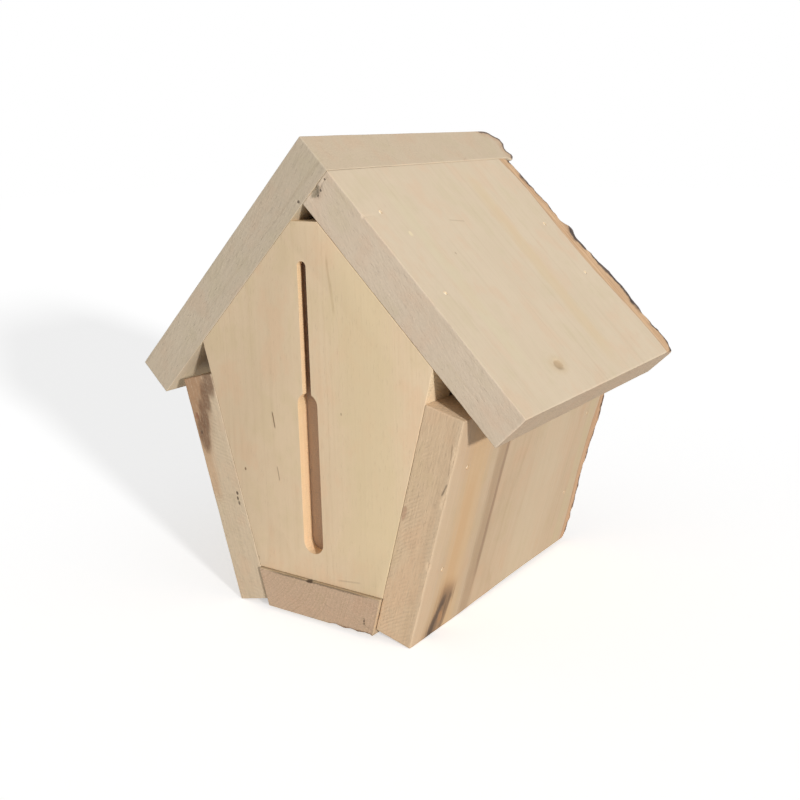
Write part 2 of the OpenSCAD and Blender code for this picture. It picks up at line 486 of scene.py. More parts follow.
@dataclass
class Plank:
    """Builds the skin of a solid plank from its cross-sections.

    Attributes:
        name: the piece's name.
        lay: where the plank lies.
        sections: its cross-sections.
        ease: how far the arrises of its two ends are rounded.
        dents: hollows in its surface.
        seed: shift that tells its unevenness from that of other boards.
        bark_relief: height of the relief on the bark side.
        widest: how far across the board its surface may reach.
        askew: places across the board, and how much shorter its last end is there.
    """

    name: str
    lay: Lay
    sections: Sections
    ease: float
    dents: tuple[Dent, ...] = ()
    seed: float = 0.0
    bark_relief: float = 0.0
    widest: float = 195.5
    askew: Askew = SQUARE

    def build(self) -> Piece:
        """Makes the plank.

        Returns:
            The new object, with one material place for each side.
        """
        ring = self.sections.ring()
        normals = self._normals(ring)
        ring = self._shaped(ring, normals)
        points, quads, sides = self._skin(ring)
        mesh = bpy.data.meshes.new(self.name)
        faces = [q[::-1] for q in quads] if self.lay.mirrored() else quads
        mesh.from_pydata(self.lay.place(points).tolist(), [], faces)
        mesh.polygons.foreach_set("material_index", [s.value for s in sides])
        mesh.validate()
        return add_object(self.name, mesh)

    def _normals(self, ring: Array) -> Array:
        """Finds the outward way of each ring point within its cross-section.

        Args:
            ring: cross-sections, as station, point and (across, down).

        Returns:
            Ways of length 1, in the same order.
        """
        ahead, behind = np.roll(ring, -1, axis=1), np.roll(ring, 1, axis=1)
        run = ahead - behind
        out = np.stack([run[..., 1], -run[..., 0]], axis=-1)
        return out / np.maximum(np.linalg.norm(out, axis=-1, keepdims=True), 1e-9)

    def _shaped(self, ring: Array, normals: Array) -> Array:
        """Adds the bark's relief and the dents, and eases the arrises of both ends.

        Args:
            ring: cross-sections, as station, point and (across, down).
            normals: outward way of each point.

        Returns:
            The new cross-sections.
        """
        count, around = ring.shape[:2]
        along = np.repeat(self.sections.stations, around)
        flat = np.column_stack([along, ring.reshape(-1, 2)])
        push = np.zeros(len(flat))
        if self.bark_relief:
            push += self._bark(flat, around)
        for dent in self.dents:
            push -= self._hollow(flat, dent)
        wear = 0.7 + 0.5 * roughness_field(flat, (9, 6, 6), self.seed + 3.1, 2)
        start, end = self.sections.stations[0], self.sections.stations[-1]
        gap = np.minimum(along - start, end - along)
        short = np.clip(self.ease - gap, 0, self.ease)
        push -= (self.ease - np.sqrt(self.ease**2 - short**2)) * wear
        shaped = ring + (push.reshape(count, around)[..., None] * normals)
        shaped[..., 0] = np.minimum(shaped[..., 0], self.widest)
        return shaped

    def _bark(self, flat: Array, around: int) -> Array:
        """Relief of the bark side: long ridges, scales and a few worn flakes.

        Args:
            flat: all points as rows of along, across and down.
            around: number of points of one cross-section.

        Returns:
            How far each point stands out.
        """
        sides = self.sections.sides()
        share = np.zeros(around)
        wide, deep = sides.count(Side.OUTER), sides.count(Side.BARK)
        step = np.arange(deep + 1)
        fading = np.clip(step / 3, 0, 1) * np.clip((deep - step) / 2, 0, 1)
        share[(wide + step) % around] = fading
        weight = np.tile(share, len(flat) // around)
        relief = np.zeros(len(flat))
        rows = weight > 0
        chosen = flat[rows]
        ridges = roughness_field(chosen, (13, 30, 5), self.seed, 3)
        scales = roughness_field(chosen, (3.8, 12, 2.6), self.seed + 9.7, 2)
        flakes = roughness_field(chosen, (17, 40, 9), self.seed + 21.3, 1)
        relief[rows] = 0.8 * ridges + 0.8 * scales - 0.8 * np.clip(flakes - 0.25, 0, 1)
        return relief * weight * self.bark_relief

    def _hollow(self, flat: Array, dent: Dent) -> Array:
        """How far each point sinks into one dent.

        Args:
            flat: all points as rows of along, across and down.
            dent: the dent.

        Returns:
            The depth at each point.
        """
        gap = (flat - np.array(dent.place)) / np.array(dent.reach)
        distance = np.linalg.norm(gap, axis=1)
        near = distance < 1.4
        sunk = np.zeros(len(flat))
        if dent.ragged:
            uneven = roughness_field(flat[near], (1.6, 1.6, 1.6), self.seed, 2)
            distance[near] += dent.ragged * 0.6 * uneven
        sunk[near] = dent.depth * np.clip(1 - distance[near] ** 2, 0, 1) ** 1.3
        return sunk

    def _skin(self, ring: Array) -> tuple[Array, list[list[int]], list[Side]]:
        """Joins the rings and closes both ends.

        Args:
            ring: shaped cross-sections, as station, point and (across, down).

        Returns:
            The points, the faces and the side of each face.
        """
        count, around = ring.shape[:2]
        stations = self.sections.stations
        points = [self._drawn_back(s, r) for s, r in zip(stations, ring)]
        quads: list[list[int]] = []
        sides: list[Side] = []
        for i in range(count - 1):
            for m, side in enumerate(self.sections.sides()):
                a, b = i * around + m, i * around + (m + 1) % around
                quads.append([a, b, b + around, a + around])
                sides.append(side)
        extra = count * around
        for station, side in ((0, Side.START), (count - 1, Side.END)):
            inner, grid = self._cap(ring[station], station * around, extra)
            points.append(self._drawn_back(stations[station], inner))
            extra += len(inner)
            for j in range(grid.shape[0] - 1):
                for k in range(grid.shape[1] - 1):
                    quad = [grid[j, k], grid[j, k + 1], grid[j + 1, k + 1], grid[j + 1, k]]
                    quads.append([int(x) for x in (quad if side is Side.START else quad[::-1])])
                    sides.append(side)
        return np.concatenate(points), quads, sides

    def _drawn_back(self, station: float, section: Array) -> Array:
        """Places the points of one cross-section, drawn back where the last end is askew."""
        near = np.clip(1 - (self.sections.stations[-1] - station) / 12, 0, 1)
        return np.column_stack([station - np.interp(section[:, 0], *self.askew) * near, section])

    def _cap(self, ring: Array, first: int, extra: int) -> tuple[Array, Array]:
        """Fills one end with a grid between its four sides.

        Args:
            ring: the end's cross-section.
            first: number of its first point.
            extra: number that the first new point will have.

        Returns:
            The new points, and the numbers of the whole grid's points.
        """
        wide, deep = self.sections.outer.shape[1], self.sections.bark.shape[1]
        number = np.arange(len(ring))
        closed = np.append(number, 0)
        grid = np.zeros((wide, deep), int)
        grid[:, 0] = closed[:wide]
        grid[-1, :] = closed[wide - 1 : wide + deep - 1]
        grid[:, -1] = closed[wide + deep - 2 : 2 * wide + deep - 2][::-1]
        grid[0, :] = closed[2 * wide + deep - 3 :][::-1]
        u = np.linspace(0, 1, wide)[1:-1, None, None]
        v = np.linspace(0, 1, deep)[None, 1:-1, None]
        top, low = ring[grid[1:-1, 0]][:, None], ring[grid[1:-1, -1]][:, None]
        near, far = ring[grid[0, 1:-1]][None], ring[grid[-1, 1:-1]][None]
        corners = (
            (1 - u) * (1 - v) * ring[grid[0, 0]] + u * (1 - v) * ring[grid[-1, 0]]
            + (1 - u) * v * ring[grid[0, -1]] + u * v * ring[grid[-1, -1]]
        )
        filled = (1 - v) * top + v * low + (1 - u) * near + u * far - corners
        grid += first
        grid[1:-1, 1:-1] = extra + np.arange((wide - 2) * (deep - 2)).reshape(wide - 2, deep - 2)
        return filled.reshape(-1, 2), grid


def ring_stack(name: str, lay: Lay, rings: Sequence[Array]) -> Piece:
    """Joins rings of equal length into a closed solid.

    Args:
        name: name of the solid.
        lay: lay of the board that the rings are given in.
        rings: rings from the top down, each turning from along towards across.

    Returns:
        The new object.
    """
    around = len(rings[0])
    faces: list[list[int]] = [list(range(around))[::-1]]
    for i in range(len(rings) - 1):
        for m in range(around):
            a, b = i * around + m, i * around + (m + 1) % around
            faces.append([a, b, b + around, a + around])
    last = (len(rings) - 1) * around
    faces.append([last + m for m in range(around)])
    if lay.mirrored():
        faces = [f[::-1] for f in faces]
    mesh = bpy.data.meshes.new(name)
    mesh.from_pydata(lay.place(np.concatenate(rings)).tolist(), [], faces)
    mesh.validate()
    return add_object(name, mesh)


def carve(piece: Piece, cutters: Sequence[Piece], cut: Side = Side.OUTER) -> None:
    """Cuts solids out of a piece and deletes them.

    Args:
        piece: the piece that is cut, with its materials.
        cutters: the solids, which don't overlap each other.
        cut: side of the piece whose material the new surfaces take.
    """
    joined = bmesh.new()
    for cutter in cutters:
        joined.from_mesh(cutter.data)
        bpy.data.meshes.remove(cutter.data)
    for face in joined.faces:
        face.material_index = cut.value
    tool = add_object("tool", bpy.data.meshes.new("tool"))
    joined.to_mesh(tool.data)
    joined.free()
    for material in piece.data.materials:
        tool.data.materials.append(material)
    step = piece.modifiers.new("carve", "BOOLEAN")
    step.operation = "DIFFERENCE"
    step.solver = "EXACT"
    step.object = tool
    bpy.context.view_layer.update()
    graph = bpy.context.evaluated_depsgraph_get()
    whole, cut_open = piece.data, bpy.data.meshes.new_from_object(piece.evaluated_get(graph))
    piece.modifiers.clear()
    piece.data = cut_open
    bpy.data.meshes.remove(whole)
    bpy.data.meshes.remove(tool.data)


@dataclass(frozen=True)
class NailHole:
    """The hole of one nail, with a recess for its head.

    Attributes:
        head: radius of the recess.
        head_depth: depth of the recess.
        shank: radius of the hole below it.
        depth: depth of the whole hole.
        rim: how far the recess's mouth is worn wider.
        around: number of points round each of its rings.
    """

    head: float = 1.14
    head_depth: float = 1.24
    shank: float = 0.69
    depth: float = 38.3
    rim: float = 0.12
    around: int = 28

    def cutter(self, lay: Lay, centre: Spot) -> Piece:
        """Makes the solid that cuts the hole.

        Args:
            lay: lay of the board that the nail goes into first.
            centre: the nail's place, along and across.

        Returns:
            The new object.
        """
        mouth = self.head + self.rim
        angles = np.linspace(0, 2 * math.pi, self.around, endpoint=False)
        return ring_stack("nail_hole", lay, [
            np.column_stack([
                centre[0] + radius * np.cos(angles), centre[1] + radius * np.sin(angles),
                np.full(self.around, down),
            ])
            for radius, down in (
                (mouth, -1.0), (mouth, 0.0), (self.head, 0.18), (self.head, self.head_depth),
                (self.shank, self.head_depth + 0.001), (self.shank, self.depth),
            )
        ])


class Shader:
    """A tree of nodes for a material or the sky, built up by short calls.

    Attributes:
        place: place on the board, in millimetres, as along, across and down.
    """

    def __init__(self, owner: Material | bpy.types.World, seed: float = 0.0) -> None:
        """Starts an empty tree.

        Args:
            owner: the material or sky that the tree is for.
            seed: shift that tells one board's noise from the next.
        """
        owner.use_nodes = True
        self.owner = owner
        self.tree = owner.node_tree
        self.tree.nodes.clear()
        self.seed = seed
        self.place: Socket | None = None

    def node(self, kind: str, inputs: dict | None = None, **settings: object) -> bpy.types.Node:
        """Adds a node.

        Args:
            kind: Blender's name for the node, without ShaderNode.
            inputs: values or sockets for its inputs, by name or number.
            **settings: its other properties.

        Returns:
            The node.
        """
        made = self.tree.nodes.new("ShaderNode" + kind)
        for key, value in settings.items():
            setattr(made, key, value)
        for key, value in (inputs or {}).items():
            if isinstance(value, Socket):
                self.tree.links.new(value, made.inputs[key])
            else:
                made.inputs[key].default_value = value
        return made

    def math(self, operation: str, *values: Socket | float) -> Socket:
        """Adds a math node on up to three numbers."""
        return self.node("Math", dict(enumerate(values)), operation=operation).outputs[0]

    def times(self, value: Socket, share: Socket | float) -> Socket:
        """Multiplies two numbers."""
        return self.math("MULTIPLY", value, share)

    def plus(self, base: Socket | float, value: Socket, share: Socket | float) -> Socket:
        """Adds a share of a value to a number."""
        return self.math("MULTIPLY_ADD", value, share, base)

    def ruffled(self, base: Socket, noise: Socket, reach: float) -> Socket:
        """Moves a number up and down with a noise between 0 and 1."""
        return self.plus(base, self.math("SUBTRACT", noise, 0.5), reach)

    def wave(self, value: Socket, space: float) -> Socket:
        """Rises and falls between 0 and 1, once in each space."""
        turn = self.math("SINE", self.times(value, 2 * math.pi / space))
        return self.plus(0.5, turn, 0.5)

    def vector(self, operation: str, *values: Socket | Sequence[float]) -> Socket:
        """Adds a vector math node that gives a vector."""
        return self.node("VectorMath", dict(enumerate(values)), operation=operation).outputs[0]

    def measure(self, operation: str, *values: Socket | Sequence[float]) -> Socket:
        """Adds a vector math node that gives a number."""
        made = self.node("VectorMath", dict(enumerate(values)), operation=operation)
        return made.outputs["Value"]

    def parts(self) -> tuple[Socket, Socket, Socket]:
        """The place's three measures: along, across and down."""
        return tuple(self.node("SeparateXYZ", {0: self.place}).outputs)

    def joined(self, *parts: Socket | float) -> Socket:
        """Makes a vector of three numbers."""
        return self.node("CombineXYZ", dict(enumerate(parts))).outputs[0]

    def mix(self, share: Socket, low: Socket | Colour, high: Socket | Colour) -> Socket:
        """Mixes two colours, where the share tells how much of the second one shows."""
        ends = [c if isinstance(c, Socket) else (*c, 1.0) for c in (low, high)]
        return self.node("Mix", {0: share, 6: ends[0], 7: ends[1]}, data_type="RGBA").outputs[2]

    def tint(self, base: Socket | Colour, *layers: Layer) -> Socket:
        """Lays colours over a first one, each where some value rises or falls.

        Args:
            base: first colour.
            *layers: colour, value, where that value begins and ends to let it show, and strength.

        Returns:
            The colour with all layers.
        """
        for over, value, low, high, strength in layers:
            share = self.step(value, low, high)
            base = self.mix(share if strength == 1.0 else self.times(share, strength), base, over)
        return base

    def step(self, value: Socket, low: float, high: float) -> Socket:
        """Rises softly from 0 at low to 1 at high, or falls where low is the larger."""
        ends = {0: value, 1: low, 2: high, 3: 0.0, 4: 1.0}
        return self.node("MapRange", ends, interpolation_type="SMOOTHSTEP").outputs[0]

    def grain(self, size: Sequence[float], layer: float, detail: float = 2.0,
              rough: float = 0.5, place: Socket | None = None) -> Socket:
        """Noise between 0 and 1 whose bumps have a size in each way.

        Args:
            size: size of one bump along, across and down.
            layer: shift that tells this noise from the board's others.
            detail: number of finer layers.
            rough: strength of the finer layers.
            place: where it is taken, if not at the place on the board.

        Returns:
            The noise.
        """
        seed = self.seed + layer
        shift = (seed, seed * 1.7, seed * 2.3)
        at = self.place if place is None else place
        return self.noise(
            self.vector("MULTIPLY_ADD", at, [1 / s for s in size], shift), detail, rough
        )

    def noise(self, place: Socket, detail: float, rough: float) -> Socket:
        """Noise between 0 and 1 with bumps of size 1."""
        inputs = {"Vector": place, "Scale": 1.0, "Detail": detail, "Roughness": rough}
        return self.node("TexNoise", inputs).outputs[0]

    def attribute(self, name: str, output: str) -> Socket:
        """A value that the mesh carries at its points."""
        return self.node("Attribute", attribute_name=name).outputs[output]

    def finish(self, colour: Socket, rough: Socket, height: Socket, lift: float,
               specular: float = 0.3, metallic: float = 0.0) -> Material:
        """Closes the tree with a plain surface shader.

        Args:
            colour: surface colour.
            rough: roughness.
            height: relief for the bump.
            lift: height in metres that one unit of relief stands for.
            specular: strength of the clear reflection.
            metallic: 1 for metal.

        Returns:
            The material.
        """
        bump = self.node("Bump", {"Height": height, "Distance": lift, "Strength": 1.0})
        surface = self.node("BsdfPrincipled", {
            "Base Color": colour, "Roughness": rough, "Specular IOR Level": specular,
            "Metallic": metallic, "Normal": bump.outputs[0],
        })
        self.node("OutputMaterial", {"Surface": surface.outputs[0]})
        return self.owner


@dataclass(frozen=True)
class Stain:
    """A streak of another colour in the wood.

    Attributes:
        start: its one end, as along, across and down.
        end: its other end.
        width: half width where it has all but gone.
        colour: its colour.
        strength: how fully it covers the wood, from 0 to 1.
        wiggle: how far it strays from a straight line.
    """

    start: Place
    end: Place
    width: float
    colour: Colour
    strength: float
    wiggle: float = 1.5


@dataclass(frozen=True)
class Knot:
    """A knot or small dark flaw.

    Attributes:
        place: its middle, as along, across and down.
        reach: its half sizes in the same three ways.
        colour: colour of its middle.
        strength: how dark the middle is, from 0 to 1.
        halo: colour round the middle, or None for a bare speck.
    """

    place: Place
    reach: Place
    colour: Colour
    strength: float = 0.9
    halo: Colour | None = None


@dataclass(frozen=True)
class Timber:
    """Pale, close-grained wood of one board, with all its surfaces.

    Attributes:
        name: name of the wood's materials.
        face: colour of a planed face.
        sawn: colour of a rough-sawn edge.
        crosscut: colour of an end.
        heart: place of the tree's heart, as across and down.
        seed: shift that tells one board from the next.
        stains: streaks of other colours.
        knots: knots and dark flaws.
        arcs: space between the saw's arcs on the sawn edge, and how strongly they show.
        slant: how far the arcs lean along the board for each millimetre down.
        dashes: how far the saw's short dashes sink for each millimetre along, and their strength.
        lines: how strongly the year rings' lines show on the faces.
        ring: mean width of a year ring.
        end_marks: how strongly rays, splits and fuzz show on the ends.
        end_band: width of the inner bark that shows on the ends.
        bark_start: how far below the outer face the bark's scales begin.
        speckle: how strongly the fibres show on the faces.
        routed: colour inside a routed slot.
        slot_floor_shade: darker colour of the slot's bottom, which is painted shade.
        slot_depth: how deep that bottom lies.
        inner_bark: colour of the smooth inner bark.
        inner_bark_dark: colour of its darker fibres.
        bark: colour of the bark's scales.
        bark_dark: colour of the hollows between them.
    """

    name: str
    face: Colour
    sawn: Colour
    crosscut: Colour
    heart: Spot
    seed: float
    stains: tuple[Stain, ...] = ()
    knots: tuple[Knot, ...] = ()
    arcs: Spot = (1.7, 0.5)
    slant: float = 0.25
    dashes: Spot = (0.3, 0.3)
    lines: float = 0.14
    ring: float = 2.1
    end_marks: float = 1.0
    end_band: float = FACE_BAND
    bark_start: float = 0.65
    speckle: float = 0.13
    routed: Colour = srgb(232, 198, 156)
    slot_floor_shade: Colour = srgb(200, 170, 143)
    slot_depth: float = FAR
    inner_bark: Colour = srgb(218, 182, 143)
    inner_bark_dark: Colour = srgb(188, 150, 115)
    bark: Colour = srgb(104, 90, 82)
    bark_dark: Colour = srgb(58, 50, 48)

    def material(self, cut: Cut) -> Material:
        """Makes the material of one kind of surface, by the painting method of that name."""
        return getattr(BoardShader(self, cut), cut.value)()


class BoardShader(Shader):
    """Paints one surface of a board's wood, whose mesh carries the place of each point."""

    def __init__(self, wood: Timber, cut: Cut) -> None:
        """Starts the material.

        Args:
            wood: the board's wood.
            cut: how the surface came about.
        """
        super().__init__(bpy.data.materials.new(f"{wood.name}_{cut.value}"), wood.seed)
        self.wood = wood
        self.place = self.attribute("grain", "Vector")

    def _from_heart(self) -> tuple[Socket, Socket]:
        """How far a place lies from the tree's heart, across and down."""
        _, *deep = self.parts()
        return tuple(self.math("SUBTRACT", d, heart) for d, heart in zip(deep, self.wood.heart))

    def _rings(self) -> Socket:
        """Counts year rings from the tree's heart to a place, unevenly warped.

        Returns:
            The number of rings.
        """
        slow = self.grain((170, 55, 55), 0, 2.0, 0.4)
        quick = self.grain((38, 9, 9), 5, 1.0, 0.5)
        across, down = self._from_heart()
        radius = self.math("SQRT", self.plus(self.times(across, across), down, down))
        warped = self.plus(self.plus(radius, quick, 1.6), slow, 14.0)
        for knot in self.wood.knots:
            if knot.halo is not None:
                near = self.step(self._distance(knot, 2.6), 1.0, 0.0)
                warped = self.plus(warped, near, 2.4)
        return self.math("DIVIDE", warped, self.wood.ring)

    def _late_wood(self, count: Socket) -> Socket:
        """Thin darker line at the end of each year ring, stronger in some years.

        Args:
            count: number of year rings from the heart.

        Returns:
            How strong the line is, from 0 to 1.
        """
        inputs = {"W": self.times(count, 0.31), "Scale": 1.0, "Detail": 1.0}
        width = self.node("TexNoise", inputs, noise_dimensions="1D").outputs[0]
        uneven = self.plus(count, width, 2.2)
        share = self.math("FRACT", uneven)
        whole = {"W": self.math("FLOOR", uneven)}
        year = self.node("TexWhiteNoise", whole, noise_dimensions="1D").outputs[0]
        line = self.times(self.step(share, 0.45, 0.93), self.step(share, 1.0, 0.94))
        return self.times(line, self.plus(0.25, year, 0.75))

    def _distance(self, knot: Knot, spread: float = 1.0) -> Socket:
        """Distance from a knot's middle, where 1 is its rim, spread by some factor."""
        gap = self.vector("SUBTRACT", self.place, knot.place)
        return self.measure(
            "LENGTH", self.vector("MULTIPLY", gap, [1 / (r * spread) for r in knot.reach]))

    def _streak(self, stain: Stain) -> Socket:
        """How much of a stain shows at a place.

        Args:
            stain: the stain.

        Returns:
            The share, from 0 to 1.
        """
        run = Vector(stain.end) - Vector(stain.start)
        stray = self.grain((24, 60, 60), stain.width, 2.0, 0.55)
        sway = self.plus(-stain.wiggle, stray, 2 * stain.wiggle)
        moved = self.vector("ADD", self.place, self.joined(0.0, sway, sway))
        off = self.vector("SUBTRACT", moved, stain.start)
        dot = self.measure("DOT_PRODUCT", off, tuple(run))
        share = self.node("Math", {0: dot, 1: 1 / run.length_squared}, operation="MULTIPLY",
                           use_clamp=True).outputs[0]
        scaled = {0: tuple(run), "Scale": share}
        nearest = self.node("VectorMath", scaled, operation="SCALE").outputs[0]
        gap = self.measure("LENGTH", self.vector("SUBTRACT", off, nearest))
        fibre = self.grain((30, 0.9, 0.9), 11, 2.0, 0.6)
        gap = self.ruffled(gap, fibre, stain.width * 0.9)
        taper = self.times(self.step(share, 0.0, 0.18), self.step(share, 1.0, 0.82))
        core = self.times(self.step(gap, stain.width, stain.width * 0.25), taper)
        return self.times(core, stain.strength)

    def _body(self, base: Colour, lines: float, speckle: float) -> tuple[Socket, Socket, Socket]:
        """Colour, fibre relief and roughness that all cut surfaces share.

        Args:
            base: main colour.
            lines: how strongly the year rings' lines show.
            speckle: how strongly the fibres show.

        Returns:
            Colour, relief and roughness.
        """
        late = self._late_wood(self._rings())
        fibre = self.grain((24, 0.7, 0.7), 1, 3.0, 0.62)
        broad = self.grain((110, 3.2, 3.2), 2, 3.0, 0.55)
        patch = self.grain((48, 30, 30), 3, 3.0, 0.5)
        hue = self.grain((22, 17, 17), 4, 3.0, 0.55)
        pore = self.step(self.grain((5.5, 0.38, 0.38), 6, 1.0, 0.5), 0.66, 0.76)
        dark, pale = toned(base, DARKER), toned(base, PALER)
        colour = self.tint(
            base, (pale, patch, 0.34, 0.66, 1.0), (toned(base, PINKER), hue, 0.5, 0.66, 0.75),
            (toned(base, GREENER), hue, 0.48, 0.32, 0.7), (dark, broad, 0.52, 0.75, 0.16),
            (pale, broad, 0.48, 0.28, 0.35),
        )
        colour = self.mix(self.times(late, lines), colour, dark)
        colour = self.tint(colour, (dark, fibre, 0.5, 0.85, speckle))
        colour = self.mix(self.times(pore, speckle * 0.4), colour, toned(base, 0.6))
        for stain in self.wood.stains:
            colour = self.mix(self._streak(stain), colour, stain.colour)
        relief = self.plus(self.plus(self.times(pore, -0.5), fibre, -0.5), late, 0.12)
        for knot in self.wood.knots:
            colour, relief = self._knotted(knot, colour, relief)
        return colour, relief, self.plus(0.62, broad, 0.16)

    def _knotted(self, knot: Knot, colour: Socket, relief: Socket) -> tuple[Socket, Socket]:
        """Lays one knot over the wood.

        Args:
            knot: the knot.
            colour: colour so far.
            relief: relief so far.

        Returns:
            Colour and relief with the knot.
        """
        ragged = 0.7 * min(1.0, 4 / knot.reach[0])
        edge = self.grain((2.2, 2.2, 2.2), 8, 2.0, 0.6)
        distance = self.ruffled(self._distance(knot), edge, ragged)
        if knot.halo is not None:
            colour = self.tint(colour, (knot.halo, distance, 2.3, 0.9, 0.75 * knot.strength))
        core = self.times(self.step(distance, 1.05, 0.55), knot.strength)
        return self.mix(core, colour, knot.colour), self.plus(relief, core, -0.8)

    def _with_bark_edge(self, colour: Socket, band: float = FACE_BAND) -> Socket:
        """Shows the cut through the bark where a cut surface meets the live edge.

        Args:
            colour: colour so far.
            band: width of the inner bark.

        Returns:
            The colour with the bark's edge.
        """
        under = self.attribute("under_bark", "Fac")
        stray = self.grain((7, 3, 3), 14, 3.0, 0.6)
        fibre = self.grain((12, 0.8, 0.8), 15, 2.0, 0.6)
        inner = self.tint(self.wood.inner_bark, (self.wood.inner_bark_dark, fibre, 0.35, 0.7, 1.0))
        depth = self.ruffled(under, stray, 1.0 + 0.45 * band)
        rim = self.ruffled(under, stray, 0.8)
        return self.tint(
            colour, (inner, depth, band, band * 0.3, min(0.85, 3.2 / band)),
            (self.wood.bark, rim, 0.4 + 0.25 * band, 0.2 + 0.15 * band, min(0.9, 0.2 * band)),
        )

    def planed(self) -> Material:
        """Finishes a smooth face."""
        colour, relief, rough = self._body(self.wood.face, self.wood.lines, self.wood.speckle)
        return self.finish(self._with_bark_edge(colour), rough, relief, SMOOTH_LIFT)

    def sawn(self) -> Material:
        """Finishes a rough-sawn edge, with the arcs and dashes that the saw left.

        Returns:
            The material.
        """
        colour, relief, rough = self._body(self.wood.sawn, self.wood.lines * 0.8, 0.3)
        along, across, down = self.parts()
        space, strength = self.wood.arcs
        run = self.plus(along, down, self.wood.slant)
        run = self.plus(run, self.times(down, down), math.copysign(0.01, self.wood.slant))
        run = self.plus(run, self.grain((22, 22, 14), 16, 2.0, 0.5), space * 1.6)
        patchy = self.step(self.grain((30, 12, 9), 17, 2.0, 0.5), 0.4, 0.6)
        arc = self.times(self.wave(run, space), patchy)
        fuzz = self.grain((1.1, 0.35, 0.5), 18, 3.0, 0.65)
        tilt, marks = self.wood.dashes
        leaned = self.joined(along, across, self.plus(down, along, -tilt))
        dash = self.grain((7.0, 1.6, 0.95), 19, 3.0, 0.6, leaned)
        dark, pale = toned(self.wood.sawn, 0.68), toned(self.wood.sawn, 1.2)
        colour = self.mix(self.times(arc, 0.3 * strength), colour, dark)
        colour = self.tint(
            colour, (dark, dash, 0.5, 0.74, marks), (pale, dash, 0.46, 0.26, marks),
            (pale, fuzz, 0.5, 0.8, 0.22),
        )
        colour = self._with_bark_edge(colour)
        for value, height in ((arc, -1.1 * strength), (dash, -1.6 * marks), (fuzz, 0.9)):
            relief = self.plus(relief, value, height)
        return self.finish(colour, self.math("ADD", rough, 0.18), relief, ROUGH_LIFT)

    def crosscut(self) -> Material:
        """Finishes an end, with year rings, rays and fine splits.

        Returns:
            The material.
        """
        end, marks = self.wood.crosscut, self.wood.end_marks
        colour, relief, rough = self._body(end, min(1.0, self.wood.lines * 4 * marks), 0.12)
        across, down = self._from_heart()
        turn = self.times(self.math("ARCTAN2", down, across), 95.0)
        fan = self.joined(turn, 0.0, self.times(self._rings(), 0.07))
        rays = self.noise(fan, 2.0, 0.6)
        fuzz = self.grain((3.0, 1.5, 0.8), 20, 3.0, 0.7)
        scratch = self.grain((9, 14, 0.45), 22, 2.0, 0.6)
        colour = self.tint(
            colour, (toned(end, 0.72), rays, 0.42, 0.7, 0.2 * marks),
            (toned(end, 0.4), rays, 0.69, 0.76, 0.3 * marks),
            (toned(end, 1.25), fuzz, 0.48, 0.62, 0.1 + 0.5 * marks),
            (toned(end, 0.7), scratch, 0.5, 0.75, 0.16 * marks),
        )
        colour = self._with_bark_edge(colour, self.wood.end_band)
        split = self.step(rays, 0.69, 0.76)
        for value, height in ((fuzz, 0.8), (scratch, 0.5), (split, -0.8)):
            relief = self.plus(relief, value, height)
        return self.finish(colour, self.math("ADD", rough, 0.2), relief, ROUGH_LIFT)

    def routed(self) -> Material:
        """Finishes the inside of a slot or hole: the cutter's faint marks, and a bottom darkened as
        painted shade.

        Returns:
            The material.
        """
        colour, relief, rough = self._body(self.wood.routed, self.wood.lines, 0.12)
        along, _, down = self.parts()
        fuzz = self.grain((1.4, 0.5, 0.5), 24, 3.0, 0.65)
        marks = self.times(self.wave(along, 1.3), self.step(fuzz, 0.4, 0.6))
        low, high = self.wood.slot_depth - 0.6, self.wood.slot_depth - 0.2
        # Painted shade: the slot's bottom takes a darker colour than its sides.
        colour = self.tint(colour, (self.wood.slot_floor_shade, down, low, high, 1.0))
        colour = self.mix(self.times(marks, 0.14), colour, toned(self.wood.routed, 0.7))
        relief = self.plus(relief, marks, -0.5)
        return self.finish(colour, self.math("ADD", rough, 0.12), relief, SMOOTH_LIFT)

    def bark(self) -> Material:
        """Finishes the live edge: smooth inner bark above, and bark scales further round.

        Returns:
            The material.
        """
        down = self.parts()[2]
        fibre = self.grain((26, 1.3, 1.3), 30, 3.0, 0.62)
        patch = self.grain((30, 12, 7), 31, 3.0, 0.55)
        scale = self.grain((6.0, 2.4, 2.4), 32, 3.0, 0.62)
        inner = self.tint(
            self.wood.inner_bark, (self.wood.inner_bark_dark, fibre, 0.38, 0.72, 1.0),
            (srgb(190, 146, 110), patch, 0.52, 0.72, 0.35),
        )
        outer = self.tint(
            self.wood.bark_dark, (self.wood.bark, scale, 0.36, 0.66, 1.0),
            (srgb(142, 118, 98), fibre, 0.5, 0.75, 0.35),
        )
        edge = self.ruffled(self.ruffled(down, patch, 1.3), scale, 0.8)
        covered = self.step(edge, self.wood.bark_start - 0.25, self.wood.bark_start + 0.35)
        worn = self.step(self.grain((24, 20, 6), 34, 3.0, 0.5), 0.6, 0.68)
        covered = self.times(covered, self.plus(1.0, worn, -0.75))
        relief = self.plus(self.times(fibre, 0.35), scale, covered)
        rough = self.plus(0.7, covered, 0.18)
        return self.finish(self.mix(covered, inner, outer), rough, relief, BARK_LIFT, 0.22)


def paint_board(piece: Piece, timber: Timber, fourth: Cut) -> None:
    """Gives a board one material for each side.

    Args:
        piece: the board.
        timber: its wood.
        fourth: how the surfaces came about that count as its bark side.
    """
    cuts = {
        Side.OUTER: Cut.PLANED, Side.INNER: Cut.PLANED, Side.BACK: Cut.SAWN,
        Side.BARK: fourth, Side.START: Cut.CROSSCUT, Side.END: Cut.CROSSCUT,
    }
    made = {cut: timber.material(cut) for cut in dict.fromkeys(cuts.values())}
    for side in Side:
        piece.data.materials.append(made[cuts[side]])


